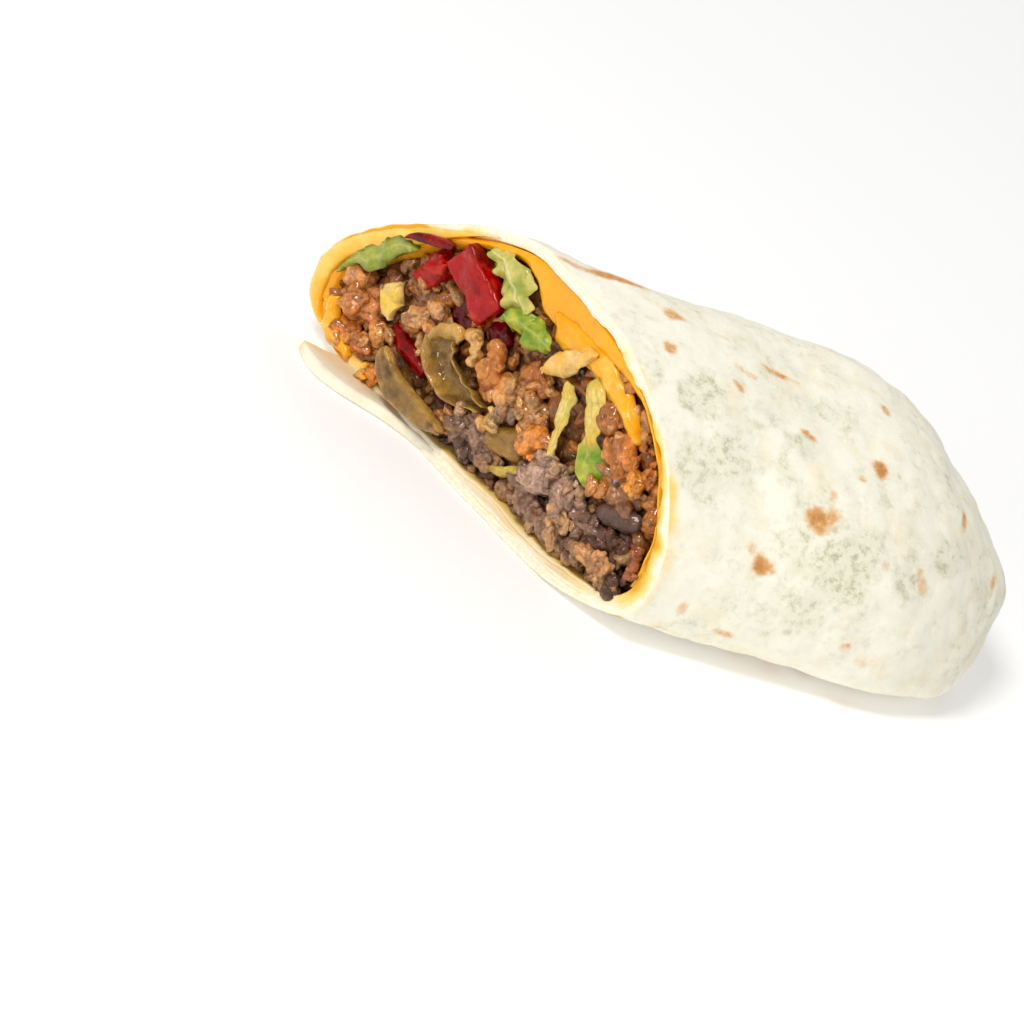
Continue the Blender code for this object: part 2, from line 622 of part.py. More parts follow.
def vegetables():
    """Every separate piece that shows in the cut, placed at (across, up, out)."""
    tomato = make_material("tomato", TOMATO_COLOUR, 0.25)
    pepper = make_material("jalapeno", JALAPENO_COLOUR, 0.35)
    green = make_material("lettuce", LETTUCE_COLOUR, 0.4)
    pale = make_material("onion", ONION_COLOUR, 0.35)
    crispy = make_material("crispy_onion", CRISPY_COLOUR, 0.5)
    yellow = make_material("yellow_pepper", YELLOW_COLOUR, 0.35)
    purple = make_material("red_onion", RED_ONION_COLOUR, 0.25)
    dark = make_material("bean", BEAN_COLOUR, 0.3)
    return [
        strip("tomato_1", [(-32.1, 32.6, 1.7), (-27.4, 35.0, 1.9), (-22.2, 36.8, 1.7)], 2.2, 2.4, tomato, 6),
        slab("tomato_2", (-26.6, 28.0, -1.8), (10.4, 6.4, 5.0), 58, (14, -10), tomato),
        slab("tomato_3", (-14.6, 33.8, -0.2), (13.0, 8.0, 3.8), -27, (6, 8), tomato),
        slab("tomato_4", (-14.4, 25.9, -4.2), (8.2, 4.6, 4.0), -4, (-8, 4), tomato),
        slab("tomato_5", (-6.6, 29.0, -3.9), (5.4, 4.2, 3.6), -50, (6, -8), tomato),
        strip(
            "tomato_6", [(-30.0, 13.4, -3.2), (-24.2, 12.2, -2.8), (-18.0, 10.4, -3.4)], 3.6, 4.0, tomato, 7
        ),
        leaf(
            "jalapeno_1",
            [(-26.8, 11.0), (-25.8, 7.2), (-20.7, 4.0), (-15.0, 3.9), (-8.5, 4.7), (-4.8, 6.0)],
            [(-26.0, 12.0), (-21.2, 10.2), (-15.5, 9.3), (-9.9, 8.6), (-6.4, 8.0), (-4.6, 7.0)],
            1.6,
            pepper,
            waves=0.1,
            thickness=2.6,
            bow=0.7,
            rows=4,
        ),
        leaf(
            "jalapeno_2",
            [(-13.4, 23.8), (-12.8, 20.8), (-10.8, 18.2), (-6.0, 17.4), (-0.6, 15.8)],
            [(-15.6, 23.6), (-19.0, 18.4), (-16.6, 13.0), (-9.0, 11.9), (-0.8, 14.4)],
            -0.4,
            pepper,
            waves=0.15,
            thickness=2.8,
            bow=1.0,
        ),
        slab("jalapeno_3", (6.8, 13.4, -1.6), (7.4, 5.0, 3.4), 20, (10, 14), pepper),
        strip("jalapeno_4", [(7.6, 7.4, -1.4), (10.8, 9.0, -0.8), (14.2, 11.6, -1.4)], 2.8, 3.4, pepper, 6),
        leaf(
            "lettuce_1",
            [(-46.0, 15.8), (-44.0, 20.4), (-41.0, 25.0), (-37.6, 29.0), (-33.6, 31.0), (-29.6, 31.6)],
            [(-45.4, 15.2), (-43.0, 18.7), (-38.4, 20.4), (-36.0, 22.8), (-33.6, 27.3), (-29.2, 31.2)],
            0.8,
            green,
            waves=0.4,
        ),
        leaf(
            "lettuce_2",
            [(-14.9, 41.0), (-12.1, 38.8), (-8.2, 37.2), (-4.9, 35.9), (-2.8, 35.9)],
            [(-14.6, 41.9), (-11.0, 42.0), (-6.9, 41.8), (-2.7, 40.6), (-1.6, 36.8)],
            -0.2,
            green,
            waves=0.6,
        ),
        leaf(
            "lettuce_3",
            [(-5.6, 33.4), (-1.9, 34.6), (2.2, 35.4), (5.7, 35.8), (8.2, 35.0)],
            [(-5.2, 32.4), (-2.7, 32.0), (0.8, 32.0), (4.6, 31.4), (8.2, 33.8)],
            0.0,
            green,
        ),
        leaf(
            "lettuce_4",
            [(19.7, 37.0), (19.4, 33.7), (20.9, 30.5), (22.3, 26.9)]
            + [(24.0, 23.4), (26.0, 20.1), (29.0, 19.0)],
            [(20.6, 37.4), (22.6, 35.8), (24.8, 32.1), (24.8, 28.6)]
            + [(27.6, 26.6), (31.2, 25.0), (30.2, 19.6)],
            0.0,
            green,
        ),
        leaf(
            "lettuce_5",
            [(14.7, 32.4), (15.2, 27.6), (16.6, 22.8), (18.8, 17.2)],
            [(16.7, 32.6), (18.2, 28.4), (19.2, 23.6), (19.8, 17.6)],
            0.0,
            green,
            waves=0.4,
            rows=4,
        ),
        leaf(
            "onion_1",
            [(7.6, 30.8), (10.2, 35.0), (12.6, 38.0), (15.2, 40.0), (17.6, 40.2)],
            [(8.2, 30.4), (12.7, 31.1), (15.0, 34.4), (16.6, 36.9), (18.0, 39.4)],
            -0.1,
            pale,
            waves=0.3,
            thickness=1.0,
        ),
        slab("yellow_pepper_1", (-32.6, 18.5, -1.2), (7.2, 4.2, 3.6), -42, (8, 0), yellow),
        strip(
            "red_onion_1", [(-13.6, 10.1, -2.4), (-9.8, 10.2, -2.2), (-6.4, 10.6, -2.6)], 1.8, 2.0, purple, 6
        ),
        strip(
            "crispy_onion_1",
            [(-23.4, 17.8, -1.4), (-21.8, 15.8, -0.8), (-21.4, 14.2, -1.4)],
            1.8, 2.8, crispy, 6,
        ),
        strip(
            "crispy_onion_2",
            [(-11.2, 23.4, -1.0), (-8.6, 23.4, 0.2), (-7.2, 21.2, 0.2), (-7.6, 19.2, -1.0)],
            2.6, 3.0, crispy, 8,
        ),
        strip(
            "crispy_onion_3",
            [(-4.4, 26.4, -1.2), (-2.2, 24.8, 0.2), (-1.6, 21.8, 0.4), (-3.4, 19.4, -1.0)],
            3.8, 3.4, crispy, 8,
        ),
        strip(
            "crispy_onion_4",
            [(44.4, 17.2, -1.2), (45.4, 14.0, -0.4), (45.8, 10.8, -1.2)],
            2.4, 3.0, crispy, 6,
        ),
        bean("bean_1", (37.8, 18.6, -1.8), 10.4, 4.2, 22, dark),
    ]


def beef_layers(pieces):
    """The sauced beef over the plain beef, with crumbs fused on and a pocket round every other piece."""
    sauced = filling_core("beef_sauced", FACE_RECESS)
    plain = filling_core("beef_plain", FACE_RECESS)
    boolean(plain, [lower_room(-GAP / 2)], "INTERSECT")
    carve(sauced, [lower_room(GAP / 2)])
    large_sauced = [
        (-28.4, 6.6, 2.8, -1.0),
        (-26.0, 5.8, 2.0, 1.4),
        (-38.6, 14.4, 3.6, -3.0),
        (-34.8, 11.6, 3.0, -2.0),
        (-25.4, 20.4, 4.2, -2.4),
        (-20.6, 22.2, 3.0, -2.4),
        (1.6, 20.6, 4.0, -2.6),
        (8.0, 21.4, 4.2, -2.4),
        (2.8, 15.8, 2.0, -0.6),
        (13.6, 17.8, 3.6, -1.4),
        (27.4, 31.6, 3.6, -2.0),
        (32.0, 28.8, 4.0, -1.8),
        (35.4, 24.0, 4.0, -2.2),
    ]
    large_plain = [
        (-3.0, 8.9, 2.9, -0.8),
        (2.2, 9.8, 3.2, -1.2),
        (20.6, 12.8, 4.6, -1.6),
        (27.4, 14.6, 4.2, -1.8),
        (18.8, 9.0, 2.7, 0.2),
        (26.6, 9.4, 2.9, -0.2),
        (33.6, 10.8, 3.4, -2.0),
        (39.8, 9.2, 2.8, -0.6),
        (43.6, 7.8, 2.3, 0.2),
    ]
    taken = face_places(pieces)
    over = scatter_crumbs(
        7, lambda across, up, radius: up - 1.15 * radius > layer_height(across) + GAP, large_sauced, taken
    )
    under = scatter_crumbs(11, lambda across, up, radius: up < layer_height(across) - GAP, large_plain, taken)
    pockets = [add_copy(item) for item in under]
    join(sauced, over)
    join(plain, under)
    cut_pockets(sauced, pieces + pockets)
    cut_pockets(plain, pieces)
    for item in pockets:
        bpy.data.objects.remove(item, do_unlink=True)
    keep_largest(sauced)
    keep_largest(plain)
    sauced.data.materials.append(make_material("beef_sauced", SAUCED_COLOUR, 0.4))
    plain.data.materials.append(make_material("beef_plain", PLAIN_COLOUR, 0.6))


def main():
    clear_scene()
    shell = wrap_shell(make_material("tortilla", WRAP_COLOUR, 0.7))
    lining = cheese_lining(make_material("cheese", CHEESE_COLOUR, 0.3))
    pieces = vegetables()
    cut_pockets(lining, pieces)
    keep_largest(lining)
    beef_layers(pieces)
    for item in [shell, *pieces]:
        item.data.shade_smooth()


main()
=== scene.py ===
"""The looks of half a burrito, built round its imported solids.

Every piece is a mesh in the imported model's frame. Lengths are millimetres in the code and metres in
the meshes. X runs along the roll from the cut to the closed end, Y points to the far side, where the
cut's sharp tip is, and Z is up. On the cut face, places are (across, up, out): across is 0 on the roll's
axis and grows towards the near side, and out is 0 on the cut plane and grows away from the food.
Colours are written as the eye names them, in parts of 255, and turned into linear light by colour().
"""

import functools
import itertools
import math
import random

import bmesh
import bpy
import numpy as np
from mathutils import Matrix, Vector


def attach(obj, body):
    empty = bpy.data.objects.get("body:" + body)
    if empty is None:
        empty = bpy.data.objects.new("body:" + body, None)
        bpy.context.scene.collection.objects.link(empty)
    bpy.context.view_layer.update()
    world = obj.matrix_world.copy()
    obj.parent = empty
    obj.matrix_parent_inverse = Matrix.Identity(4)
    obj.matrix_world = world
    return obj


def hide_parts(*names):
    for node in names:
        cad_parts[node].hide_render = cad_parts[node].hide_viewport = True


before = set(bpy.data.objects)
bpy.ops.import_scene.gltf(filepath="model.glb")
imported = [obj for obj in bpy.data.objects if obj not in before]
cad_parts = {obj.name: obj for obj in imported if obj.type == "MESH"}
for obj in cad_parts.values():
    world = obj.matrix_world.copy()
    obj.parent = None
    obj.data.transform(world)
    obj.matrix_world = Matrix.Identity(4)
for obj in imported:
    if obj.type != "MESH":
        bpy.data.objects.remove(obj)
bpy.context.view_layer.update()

MM = 0.001
TURN = 2 * math.pi
MERGE_DISTANCE = 0.002 * MM

# Size and shape of the roll, as in its solids
BODY_WIDTH = 89.0
BODY_HEIGHT = 49.0
AXIS_LENGTH = 106.4
BIAS_ANGLE = math.radians(31.4)
CLOSED_END_X = 66.6
FAR_SHIFT = -0.5
SIDE_TAPER = 0.085
TOP_DROP = 0.077
WIDTH_REACH = 41.0
TOP_REACH = 46.0
BASE_REACH = 18.0
TIP_HEIGHT = 17.0
WIDTH_POWER = 2.5
TOP_POWER = 1.8
BASE_POWER = 2.0
WIDEST_AT = 0.29
FAR_ROUNDING = 1.45
NEAR_ROUNDING = 1.0
FAR_BASE_ROUNDING = 0.47
NEAR_BASE_ROUNDING = 0.45
BASE_CLIP = 1.2
WRAP = 2.3
WRAP_BASE_FAR = 2.6
WRAP_BASE_NEAR = 5.2
GAP = 0.35
FACE_RECESS = 3.4
BASE_THINNING = 2.0
TONGUE = 2.2

# The camera, as it stands to the food
CAMERA_AZIMUTH = math.radians(-22.4)
CAMERA_ELEVATION = math.radians(25.0)
CAMERA_ROLL = math.radians(27.8)
CAMERA_PLACE = (-248.3, -541.9, 270.1)
CAMERA_LENS = 120.27

# Where the wrap is toasted: (degrees round the section, x, half length along, half width, turn, strength)
TOASTED = [
    (86, -28, 7.5, 2.6, 0, 0.9),
    (86, -38, 2.2, 0.9, 0, 0.7),
    (101, -18, 2.7, 1.9, 20, 0.85),
    (112, -19, 1.6, 1.5, 0, 0.8),
    (101, -9, 2.8, 0.9, 10, 0.45),
    (110, -4, 2.8, 0.8, 14, 0.6),
    (105, 4, 4.4, 0.9, 4, 0.85),
    (116, -5, 1.7, 0.9, 35, 0.85),
    (122, 10, 1.9, 1.0, 15, 0.9),
    (104, 28, 1.5, 1.1, 30, 0.75),
    (110, 32, 1.6, 1.2, 0, 0.45),
    (80, 37, 1.6, 1.0, 0, 0.9),
    (124, 26, 1.5, 2.0, 20, 1.0),
    (130, 22, 0.9, 1.0, 0, 0.65),
    (146, 13, 3.0, 2.2, 0, 0.95),
    (144, 16, 1.6, 2.2, 30, 0.8),
    (138, 16, 1.0, 1.9, -20, 0.55),
    (164, 6, 2.1, 2.0, 0, 0.95),
    (160, 3, 1.1, 1.5, -30, 0.6),
    (153, 39, 2.3, 1.5, 30, 0.6),
    (149, 37, 0.9, 0.8, 0, 0.5),
    (124, 47, 1.0, 2.6, 0, 0.8),
    (152, 29, 0.9, 1.1, 0, 0.4),
    (140, 58, 0.8, 2.6, 0, 0.7),
    (186, 5, 2.0, 1.0, 0, 0.65),
    (182, -5, 1.1, 1.5, 0, 0.6),
    (180, 28, 1.2, 0.8, 0, 0.6),
    (181, 33, 2.8, 1.2, 0, 0.4),
    (204, 36, 3.6, 1.6, 0, 0.8),
    (198, -6, 2.6, 0.9, 0, 0.5),
]
# Where the filling shows grey or green through the wrap: (degrees, x, radius, strength)
SHADOWED = [
    (124, -12, 8.0, 0.8),
    (118, -22, 6.0, 0.5),
    (140, -8, 10.0, 0.7),
    (126, 8, 5.0, 0.8),
    (134, 5, 6.0, 0.6),
    (158, 21, 11.0, 1.0),
    (150, 12, 9.0, 0.5),
    (170, 17, 8.0, 0.5),
    (138, 44, 6.0, 0.7),
    (112, 16, 7.0, 0.4),
    (150, 34, 8.0, 0.4),
]
FAR_SPOTS = 46
SCATTER_TRIES = 9000
BEAN_REACH = 5.2
BEAN_TURN = math.radians(22)


def colour(red, green, blue):
    """Linear light for a colour given in parts of 255."""
    return tuple((c / 255.0) ** 2.2 for c in (red, green, blue))


# Colour of the wrap, its marks and the food
CREAM = colour(252, 247, 229)
CREAM_DEEP = colour(248, 233, 202)
DOUGH = colour(232, 208, 162)
TOAST_LIGHT = colour(230, 178, 118)
TOAST_DARK = colour(184, 118, 64)
GREY_GREEN = colour(176, 174, 136)
PALE_GREEN = colour(234, 232, 208)
STAIN = colour(253, 214, 118)
STAIN_DEEP = colour(250, 164, 40)
CHEESE_ORANGE = colour(255, 160, 8)
CHEESE_YELLOW = colour(254, 178, 34)
CHEESE_PALE = colour(255, 218, 116)
RED = colour(176, 8, 8)
RED_DEEP = colour(92, 3, 5)
RED_PALE = colour(228, 82, 52)
OLIVE = colour(168, 124, 50)
OLIVE_DARK = colour(92, 62, 20)
OLIVE_PALE = colour(218, 168, 84)
LEAF = colour(122, 144, 32)
LEAF_DARK = colour(66, 88, 16)
LEAF_PALE = colour(208, 198, 104)
LEAF_RIB = colour(236, 228, 168)
LEAF_YELLOW = colour(226, 186, 72)
LEAF_STRAW = colour(238, 212, 118)
LEAF_VEIN = colour(172, 146, 50)
LEAF_BRIGHT = colour(104, 142, 20)
LEAF_LIME = colour(188, 188, 62)
SAUCE = colour(230, 138, 40)
SAUCED_TINTS = [
    colour(*c) for c in ((212, 142, 72), (192, 118, 54), (232, 170, 98), (172, 114, 66), (150, 90, 42))
]
PLAIN_TINTS = [
    colour(*c) for c in ((168, 130, 104), (146, 108, 86), (196, 148, 104), (112, 80, 62), (214, 162, 110))
]
CRUMB_PALE = colour(238, 186, 116)
# Painted shade: dark beef colours for the back of the filling's mass, deep in the roll
SAUCED_IN_SHADE = colour(104, 58, 30)
PLAIN_IN_SHADE = colour(72, 54, 48)
# How bright minced beef is, against its tints
MINCE_LIGHT = 0.8

# Large pieces of minced beef: place, radii along, across and out, turn, tint, how craggy
SAUCED_CHUNKS = [
    ((-39.8, 12.4, -2.0), (4.6, 6.2, 3.0), 0, (231, 145, 74), 0.3),
    ((-41.6, 17.0, -1.6), (2.8, 3.4, 2.4), -30, (247, 169, 99), 0.05),
    ((-38.8, 5.6, -1.4), (4.2, 2.8, 2.4), 10, (247, 143, 50), 0.6),
    ((-33.8, 6.6, -1.2), (2.6, 2.2, 2.0), 20, (220, 128, 58), 0.8),
    ((-35.0, 17.6, -3.2), (4.0, 3.4, 2.6), 40, (198, 125, 74), 0.8),
    ((-30.6, 11.2, -0.8), (2.9, 2.4, 2.2), 45, (245, 164, 82), 0.35),
    ((-27.6, 4.0, 0.4), (2.0, 1.9, 1.8), 30, (247, 149, 53), 0.4),
    ((-26.8, 24.0, -3.2), (3.6, 2.8, 2.4), 20, (175, 115, 74), 0.9),
    ((-23.4, 19.6, -1.0), (4.4, 2.7, 2.4), 22, (222, 162, 102), 0.15),
    ((-20.4, 22.6, -2.0), (3.6, 2.4, 2.4), -20, (220, 160, 100), 0.15),
    ((-24.4, 16.6, -2.2), (3.4, 1.6, 1.8), 20, (181, 123, 67), 0.3),
    ((-11.4, 29.6, -2.4), (2.6, 3.6, 2.2), 10, (222, 132, 50), 0.5),
    ((1.6, 20.8, -1.6), (4.6, 3.4, 2.8), 20, (231, 166, 96), 0.9),
    ((7.4, 21.8, -1.8), (4.8, 3.2, 2.8), -16, (222, 154, 84), 0.9),
    ((5.0, 18.2, -0.6), (2.2, 1.8, 1.6), 30, (181, 145, 114), 0.1),
    ((2.9, 15.0, 0.6), (1.6, 2.3, 1.5), -6, (255, 197, 111), 0.4),
    ((7.0, 27.6, -2.0), (3.6, 2.6, 2.2), -40, (206, 119, 47), 0.7),
    ((13.8, 17.4, -0.8), (4.2, 3.0, 2.8), 60, (249, 154, 62), 0.6),
    ((26.6, 31.8, -1.6), (4.2, 2.8, 2.4), -30, (202, 121, 53), 0.8),
    ((32.4, 28.2, -1.0), (4.4, 3.4, 2.8), -50, (229, 138, 61), 0.8),
    ((35.2, 22.8, -1.4), (5.0, 4.2, 3.0), -20, (173, 115, 70), 0.4),
    ((31.4, 20.6, -0.4), (2.4, 2.0, 1.8), 10, (239, 156, 78), 0.4),
    ((37.6, 26.2, -0.2), (2.4, 1.7, 1.5), -40, (255, 164, 55), 0.3),
    ((38.6, 28.6, -2.2), (2.2, 2.6, 1.8), 0, (220, 126, 50), 0.6),
]
PLAIN_CHUNKS = [
    ((-3.2, 9.8, -0.8), (3.2, 3.2, 2.6), 20, (163, 127, 106), 1.0),
    ((2.2, 10.2, -1.2), (3.6, 3.2, 2.6), -30, (171, 134, 111), 1.0),
    ((-0.4, 6.4, -1.6), (3.6, 2.2, 2.2), 10, (113, 81, 65), 1.0),
    ((-6.8, 8.0, -0.4), (2.0, 2.0, 1.7), 0, (225, 153, 90), 0.3),
    ((5.4, 8.6, -1.4), (2.6, 2.2, 2.0), 40, (155, 117, 93), 0.9),
    ((19.4, 14.4, -0.4), (4.8, 3.6, 3.2), 30, (202, 163, 140), 1.0),
    ((25.8, 15.4, -0.8), (4.4, 3.4, 2.8), -20, (192, 153, 131), 1.0),
    ((16.4, 10.6, -1.0), (3.4, 2.8, 2.4), 40, (161, 126, 105), 1.0),
    ((19.6, 7.0, -1.2), (4.4, 2.4, 2.4), -14, (171, 132, 108), 1.0),
    ((26.6, 10.6, 0.0), (3.4, 2.0, 2.0), -30, (229, 174, 120), 0.6),
    ((25.6, 6.6, -1.0), (3.4, 2.2, 2.2), 10, (173, 132, 105), 1.0),
    ((32.6, 12.8, -1.2), (3.8, 3.0, 2.6), 20, (153, 115, 94), 1.0),
    ((31.8, 8.0, -1.4), (3.6, 2.6, 2.4), -10, (142, 105, 85), 1.0),
    ((36.6, 12.0, -1.6), (3.0, 2.6, 2.2), 30, (95, 65, 53), 1.0),
    ((38.2, 9.2, -0.2), (4.4, 1.8, 1.9), -26, (227, 163, 105), 0.7),
    ((42.4, 7.2, -1.0), (2.4, 1.7, 1.7), -10, (118, 86, 67), 1.0),
    ((41.4, 14.0, -1.6), (2.6, 2.2, 2.0), 0, (109, 71, 50), 0.9),
]
# Smears of melted cheese over the filling: one edge, the other edge and how far out they lie
CHEESE_SMEARS = [
    (
        [(3.6, 40.6), (10.0, 41.4), (16.0, 41.2), (22.0, 40.0), (28.6, 37.4), (34.4, 32.6)],
        [(7.4, 36.4), (10.6, 35.2), (15.4, 36.2), (20.6, 35.2), (27.0, 34.0), (33.4, 31.4)],
        -1.1,
    ),
    (
        [(-44.6, 11.0), (-44.0, 6.2), (-40.6, 2.6), (-34.4, 2.4)],
        [(-42.6, 11.6), (-41.4, 8.0), (-38.6, 5.6), (-34.0, 4.4)],
        0.2,
    ),
    ([(-30.2, 5.4), (-29.6, 3.2), (-27.8, 2.4)], [(-28.4, 5.8), (-27.4, 4.4), (-26.8, 3.4)], 0.9),
    ([(18.4, 33.4), (21.6, 34.4), (25.4, 33.4)], [(18.8, 31.6), (22.0, 31.4), (25.0, 31.6)], -1.9),
]
# The wrap's free flap: its front and back edge, across and out
FLAP_FRONT = [
    (-42.4, 5.4), (-41.2, 6.6), (-37.6, 8.2), (-32.6, 9.0), (-26.6, 7.4), (-18.9, 3.4), (-13.0, 1.5),
    (-6.0, 0.5),
]
FLAP_BACK = [
    (-41.6, 4.6), (-38.4, 3.2), (-35.4, -1.0), (-31.6, -4.0), (-26.0, -4.0), (-18.0, -4.0), (-12.5, -4.0),
    (-6.0, -4.0),
]


def smooth_step(value):
    value = np.clip(value, 0.0, 1.0)
    return value * value * (3.0 - 2.0 * value)


def hump(value, centre, width):
    """1 at the centre, falling to about a third at the given width from it."""
    return np.exp(-(((value - centre) / width) ** 2))


def dome(share, power):
    """1 in the middle of a width and 0 at both edges. A higher power keeps it flat for longer."""
    return np.sqrt(np.clip(1.0 - np.abs(2 * share - 1) ** power, 0.0, 1.0))


def steps(count):
    """Even steps from 0 to 1."""
    return np.linspace(0.0, 1.0, count)


def round_angles(count):
    """Even steps round a full turn."""
    return np.linspace(0.0, TURN, count, endpoint=False)


def mixed(first, second, share):
    """Colours or places between two, by an array of shares."""
    share = np.asarray(share)[..., None]
    return np.asarray(first) * (1.0 - share) + np.asarray(second) * share


# Noise in space

LATTICE_SIDE = 32
LATTICE_MASK = LATTICE_SIDE - 1


@functools.cache
def lattice(seed):
    """The block of random numbers that noise and lumps are read from."""
    return np.random.default_rng(seed).random((LATTICE_SIDE, LATTICE_SIDE, LATTICE_SIDE, 3))


def noise(points, size, seed=1):
    """Smooth noise from -1 to 1, with features of the given size."""
    table = lattice(seed)[..., 0]
    scaled = np.asarray(points) / size
    corner = np.floor(scaled).astype(int)
    part = scaled - corner
    part = part * part * (3.0 - 2.0 * part)
    total = 0.0
    for step in itertools.product((0, 1), repeat=3):
        at = (corner + step) & LATTICE_MASK
        weight = np.prod(np.where(np.array(step) == 1, part, 1.0 - part), axis=-1)
        total = total + weight * table[at[..., 0], at[..., 1], at[..., 2]]
    return 2.0 * total - 1.0


def rough(points, size, seed=1, octaves=3):
    """Noise with finer noise on top, still from about -1 to 1."""
    total = 0.0
    for octave in range(octaves):
        total = total + noise(points, size / 2**octave, seed + octave) / 2**octave
    return total / 1.6


def patches(points, size, seed, level=0.5, depth=0.9):
    """Soft patches from 0 to 1. The level says how much of the skin they cover."""
    return smooth_step(level + depth * rough(points, size, seed))


def lumps_of(points, size, seed=1):
    """Rounded lumps side by side: height, 1 on top and 0 in the creases, and a random number for each."""
    table = lattice(seed)
    scaled = np.asarray(points) / size
    corner = np.floor(scaled).astype(int)
    nearest = np.full(scaled.shape[:-1], 9.0)
    tint = np.zeros(scaled.shape[:-1])
    for step in itertools.product((-1, 0, 1), repeat=3):
        cell = corner + step
        at = cell & LATTICE_MASK
        jitter = table[at[..., 0], at[..., 1], at[..., 2]]
        distance = np.linalg.norm(scaled - cell - jitter, axis=-1)
        closer = distance < nearest
        nearest = np.where(closer, distance, nearest)
        tint = np.where(closer, jitter[..., 0], tint)
    return 1.0 - np.clip(nearest, 0.0, 1.0) ** 2, tint


# The roll's shape


def end_share(x, end_x, reach, power):
    """What is left of the roll's width or height at x, from 1 down to 0 at the closed end."""
    depth = np.clip((x - end_x + reach) / reach, 0.0, 1.0)
    return (1.0 - depth**power) ** (1.0 / power)


def swells(angle, along):
    """Soft swelling of the upper side, with a shoulder and a hollow of its own."""
    swell = 0.55 * np.sin(3.1 * angle + 9.0 * along) + 0.45 * np.sin(5.3 * angle - 13.0 * along + 1.0)
    shoulder = 2.2 * np.exp(-(((angle - 1.25) / 0.55) ** 2) - ((along - 0.72) / 0.16) ** 2)
    hollow = -1.2 * np.exp(-(((angle - 2.75) / 0.4) ** 2) - ((along - 0.45) / 0.2) ** 2)
    return (swell + shoulder + hollow) * smooth_step(np.sin(angle) * 2.5)


def tucks(angle, station):
    """How far the closed end stands out or in along the roll, where the wrap is tucked under."""
    nose = 2.2 * np.exp(-(((angle - 2.4) / 0.5) ** 2) - ((station - 0.9) / 0.1) ** 2)
    dent = -2.6 * np.exp(-(((angle - 1.75) / 0.45) ** 2) - ((station - 0.74) / 0.1) ** 2)
    return (nose + dent) * smooth_step((1.0 - station) / 0.12)


def wrap_thickness(angles):
    """Thinner on the far side and thicker on the near side."""
    degrees = np.degrees(angles)
    far = hump(degrees, 12.0, 42.0) + hump(degrees, 372.0, 42.0)
    return WRAP - 0.9 * far + 0.9 * hump(degrees, 176.0, 34.0)


def base_layers(side):
    """0 where the base is one layer and 1 where it is two."""
    return smooth_step((0.5 - side) / 0.75) - 0.6 * smooth_step((-0.62 - side) / 0.3)


def section_side(angle):
    """Where a point of the section lies, from 1 at the far side to -1, how near it is and its rounding."""
    cosine = np.cos(angle)
    nearness = smooth_step(0.5 - 0.5 * cosine / 0.6)
    rounding = FAR_ROUNDING + (NEAR_ROUNDING - FAR_ROUNDING) * nearness
    return np.sign(cosine) * np.abs(cosine) ** rounding, nearness, rounding


def wrap_points(angles, stations, inset=0.0, lift=None, recess=0.0, end_gap=None):
    """Points of the wrap's outer surface, or of one inset into it: one row for each angle."""
    angle, station = np.meshgrid(angles, stations, indexing="ij")
    inset = np.broadcast_to(np.asarray(inset, float), angle.shape)
    sine = np.sin(angle)
    side, nearness, rounding = section_side(angle)
    end_x = CLOSED_END_X - (inset if end_gap is None else end_gap)
    cut_y = side * (BODY_WIDTH / 2 - inset)
    cut_x = CLOSED_END_X - AXIS_LENGTH - cut_y * math.tan(BIAS_ANGLE) + recess / math.cos(BIAS_ANGLE)
    x = cut_x + (end_x - cut_x) * (1.0 - (1.0 - station) ** 1.7)
    along = np.clip((x - CLOSED_END_X + AXIS_LENGTH) / AXIS_LENGTH, 0.0, 1.0)
    swell = swells(angle, along)
    width = end_share(x, end_x, WIDTH_REACH, WIDTH_POWER)
    half = (BODY_WIDTH / 2 * (1.0 - SIDE_TAPER * along) - inset + swell * np.abs(np.cos(angle))) * width
    crown = BODY_HEIGHT * (1.0 - TOP_DROP * along) - inset + swell
    floor = 0.0
    if lift is not None:
        floor = WRAP_BASE_FAR + (WRAP_BASE_NEAR - WRAP_BASE_FAR) * base_layers(side) + lift
    top = TIP_HEIGHT + (crown - TIP_HEIGHT) * end_share(x, end_x, TOP_REACH, TOP_POWER)
    base = floor + (TIP_HEIGHT - floor) * (1.0 - end_share(x, end_x, BASE_REACH, BASE_POWER))
    widest = base + (top - base) * WIDEST_AT
    over = widest + (top - widest) * np.abs(sine) ** rounding
    corner = FAR_BASE_ROUNDING + (NEAR_BASE_ROUNDING - FAR_BASE_ROUNDING) * nearness
    under = widest - (widest - base + BASE_CLIP) * np.abs(sine) ** corner
    z = np.where(sine >= 0, over, np.maximum(under, base))
    return np.stack([x + tucks(angle, station), side * half + FAR_SHIFT, z], axis=-1)


FACE_ORIGIN = np.array([CLOSED_END_X - AXIS_LENGTH, FAR_SHIFT, 0.0])
FACE_RIGHT = np.array([math.sin(BIAS_ANGLE), -math.cos(BIAS_ANGLE), 0.0])
FACE_UP = np.array([0.0, 0.0, 1.0])
FACE_OUT = np.array([-math.cos(BIAS_ANGLE), -math.sin(BIAS_ANGLE), 0.0])


def on_face(places):
    """Places in space for (across, up, out) on the cut face."""
    places = np.asarray(places, float)
    across, up, out = places[..., :1], places[..., 1:2], places[..., 2:3]
    return FACE_ORIGIN + across * FACE_RIGHT + up * FACE_UP + out * FACE_OUT


def moved_out(points, lengths):
    """Points moved away from the cut face, each by its own length."""
    return points + FACE_OUT * lengths[..., None]


def from_face(points):
    """(across, up, out) of places in space."""
    local = np.asarray(points) - FACE_ORIGIN
    return np.stack([local @ FACE_RIGHT, local @ FACE_UP, local @ FACE_OUT], axis=-1)


# Meshes


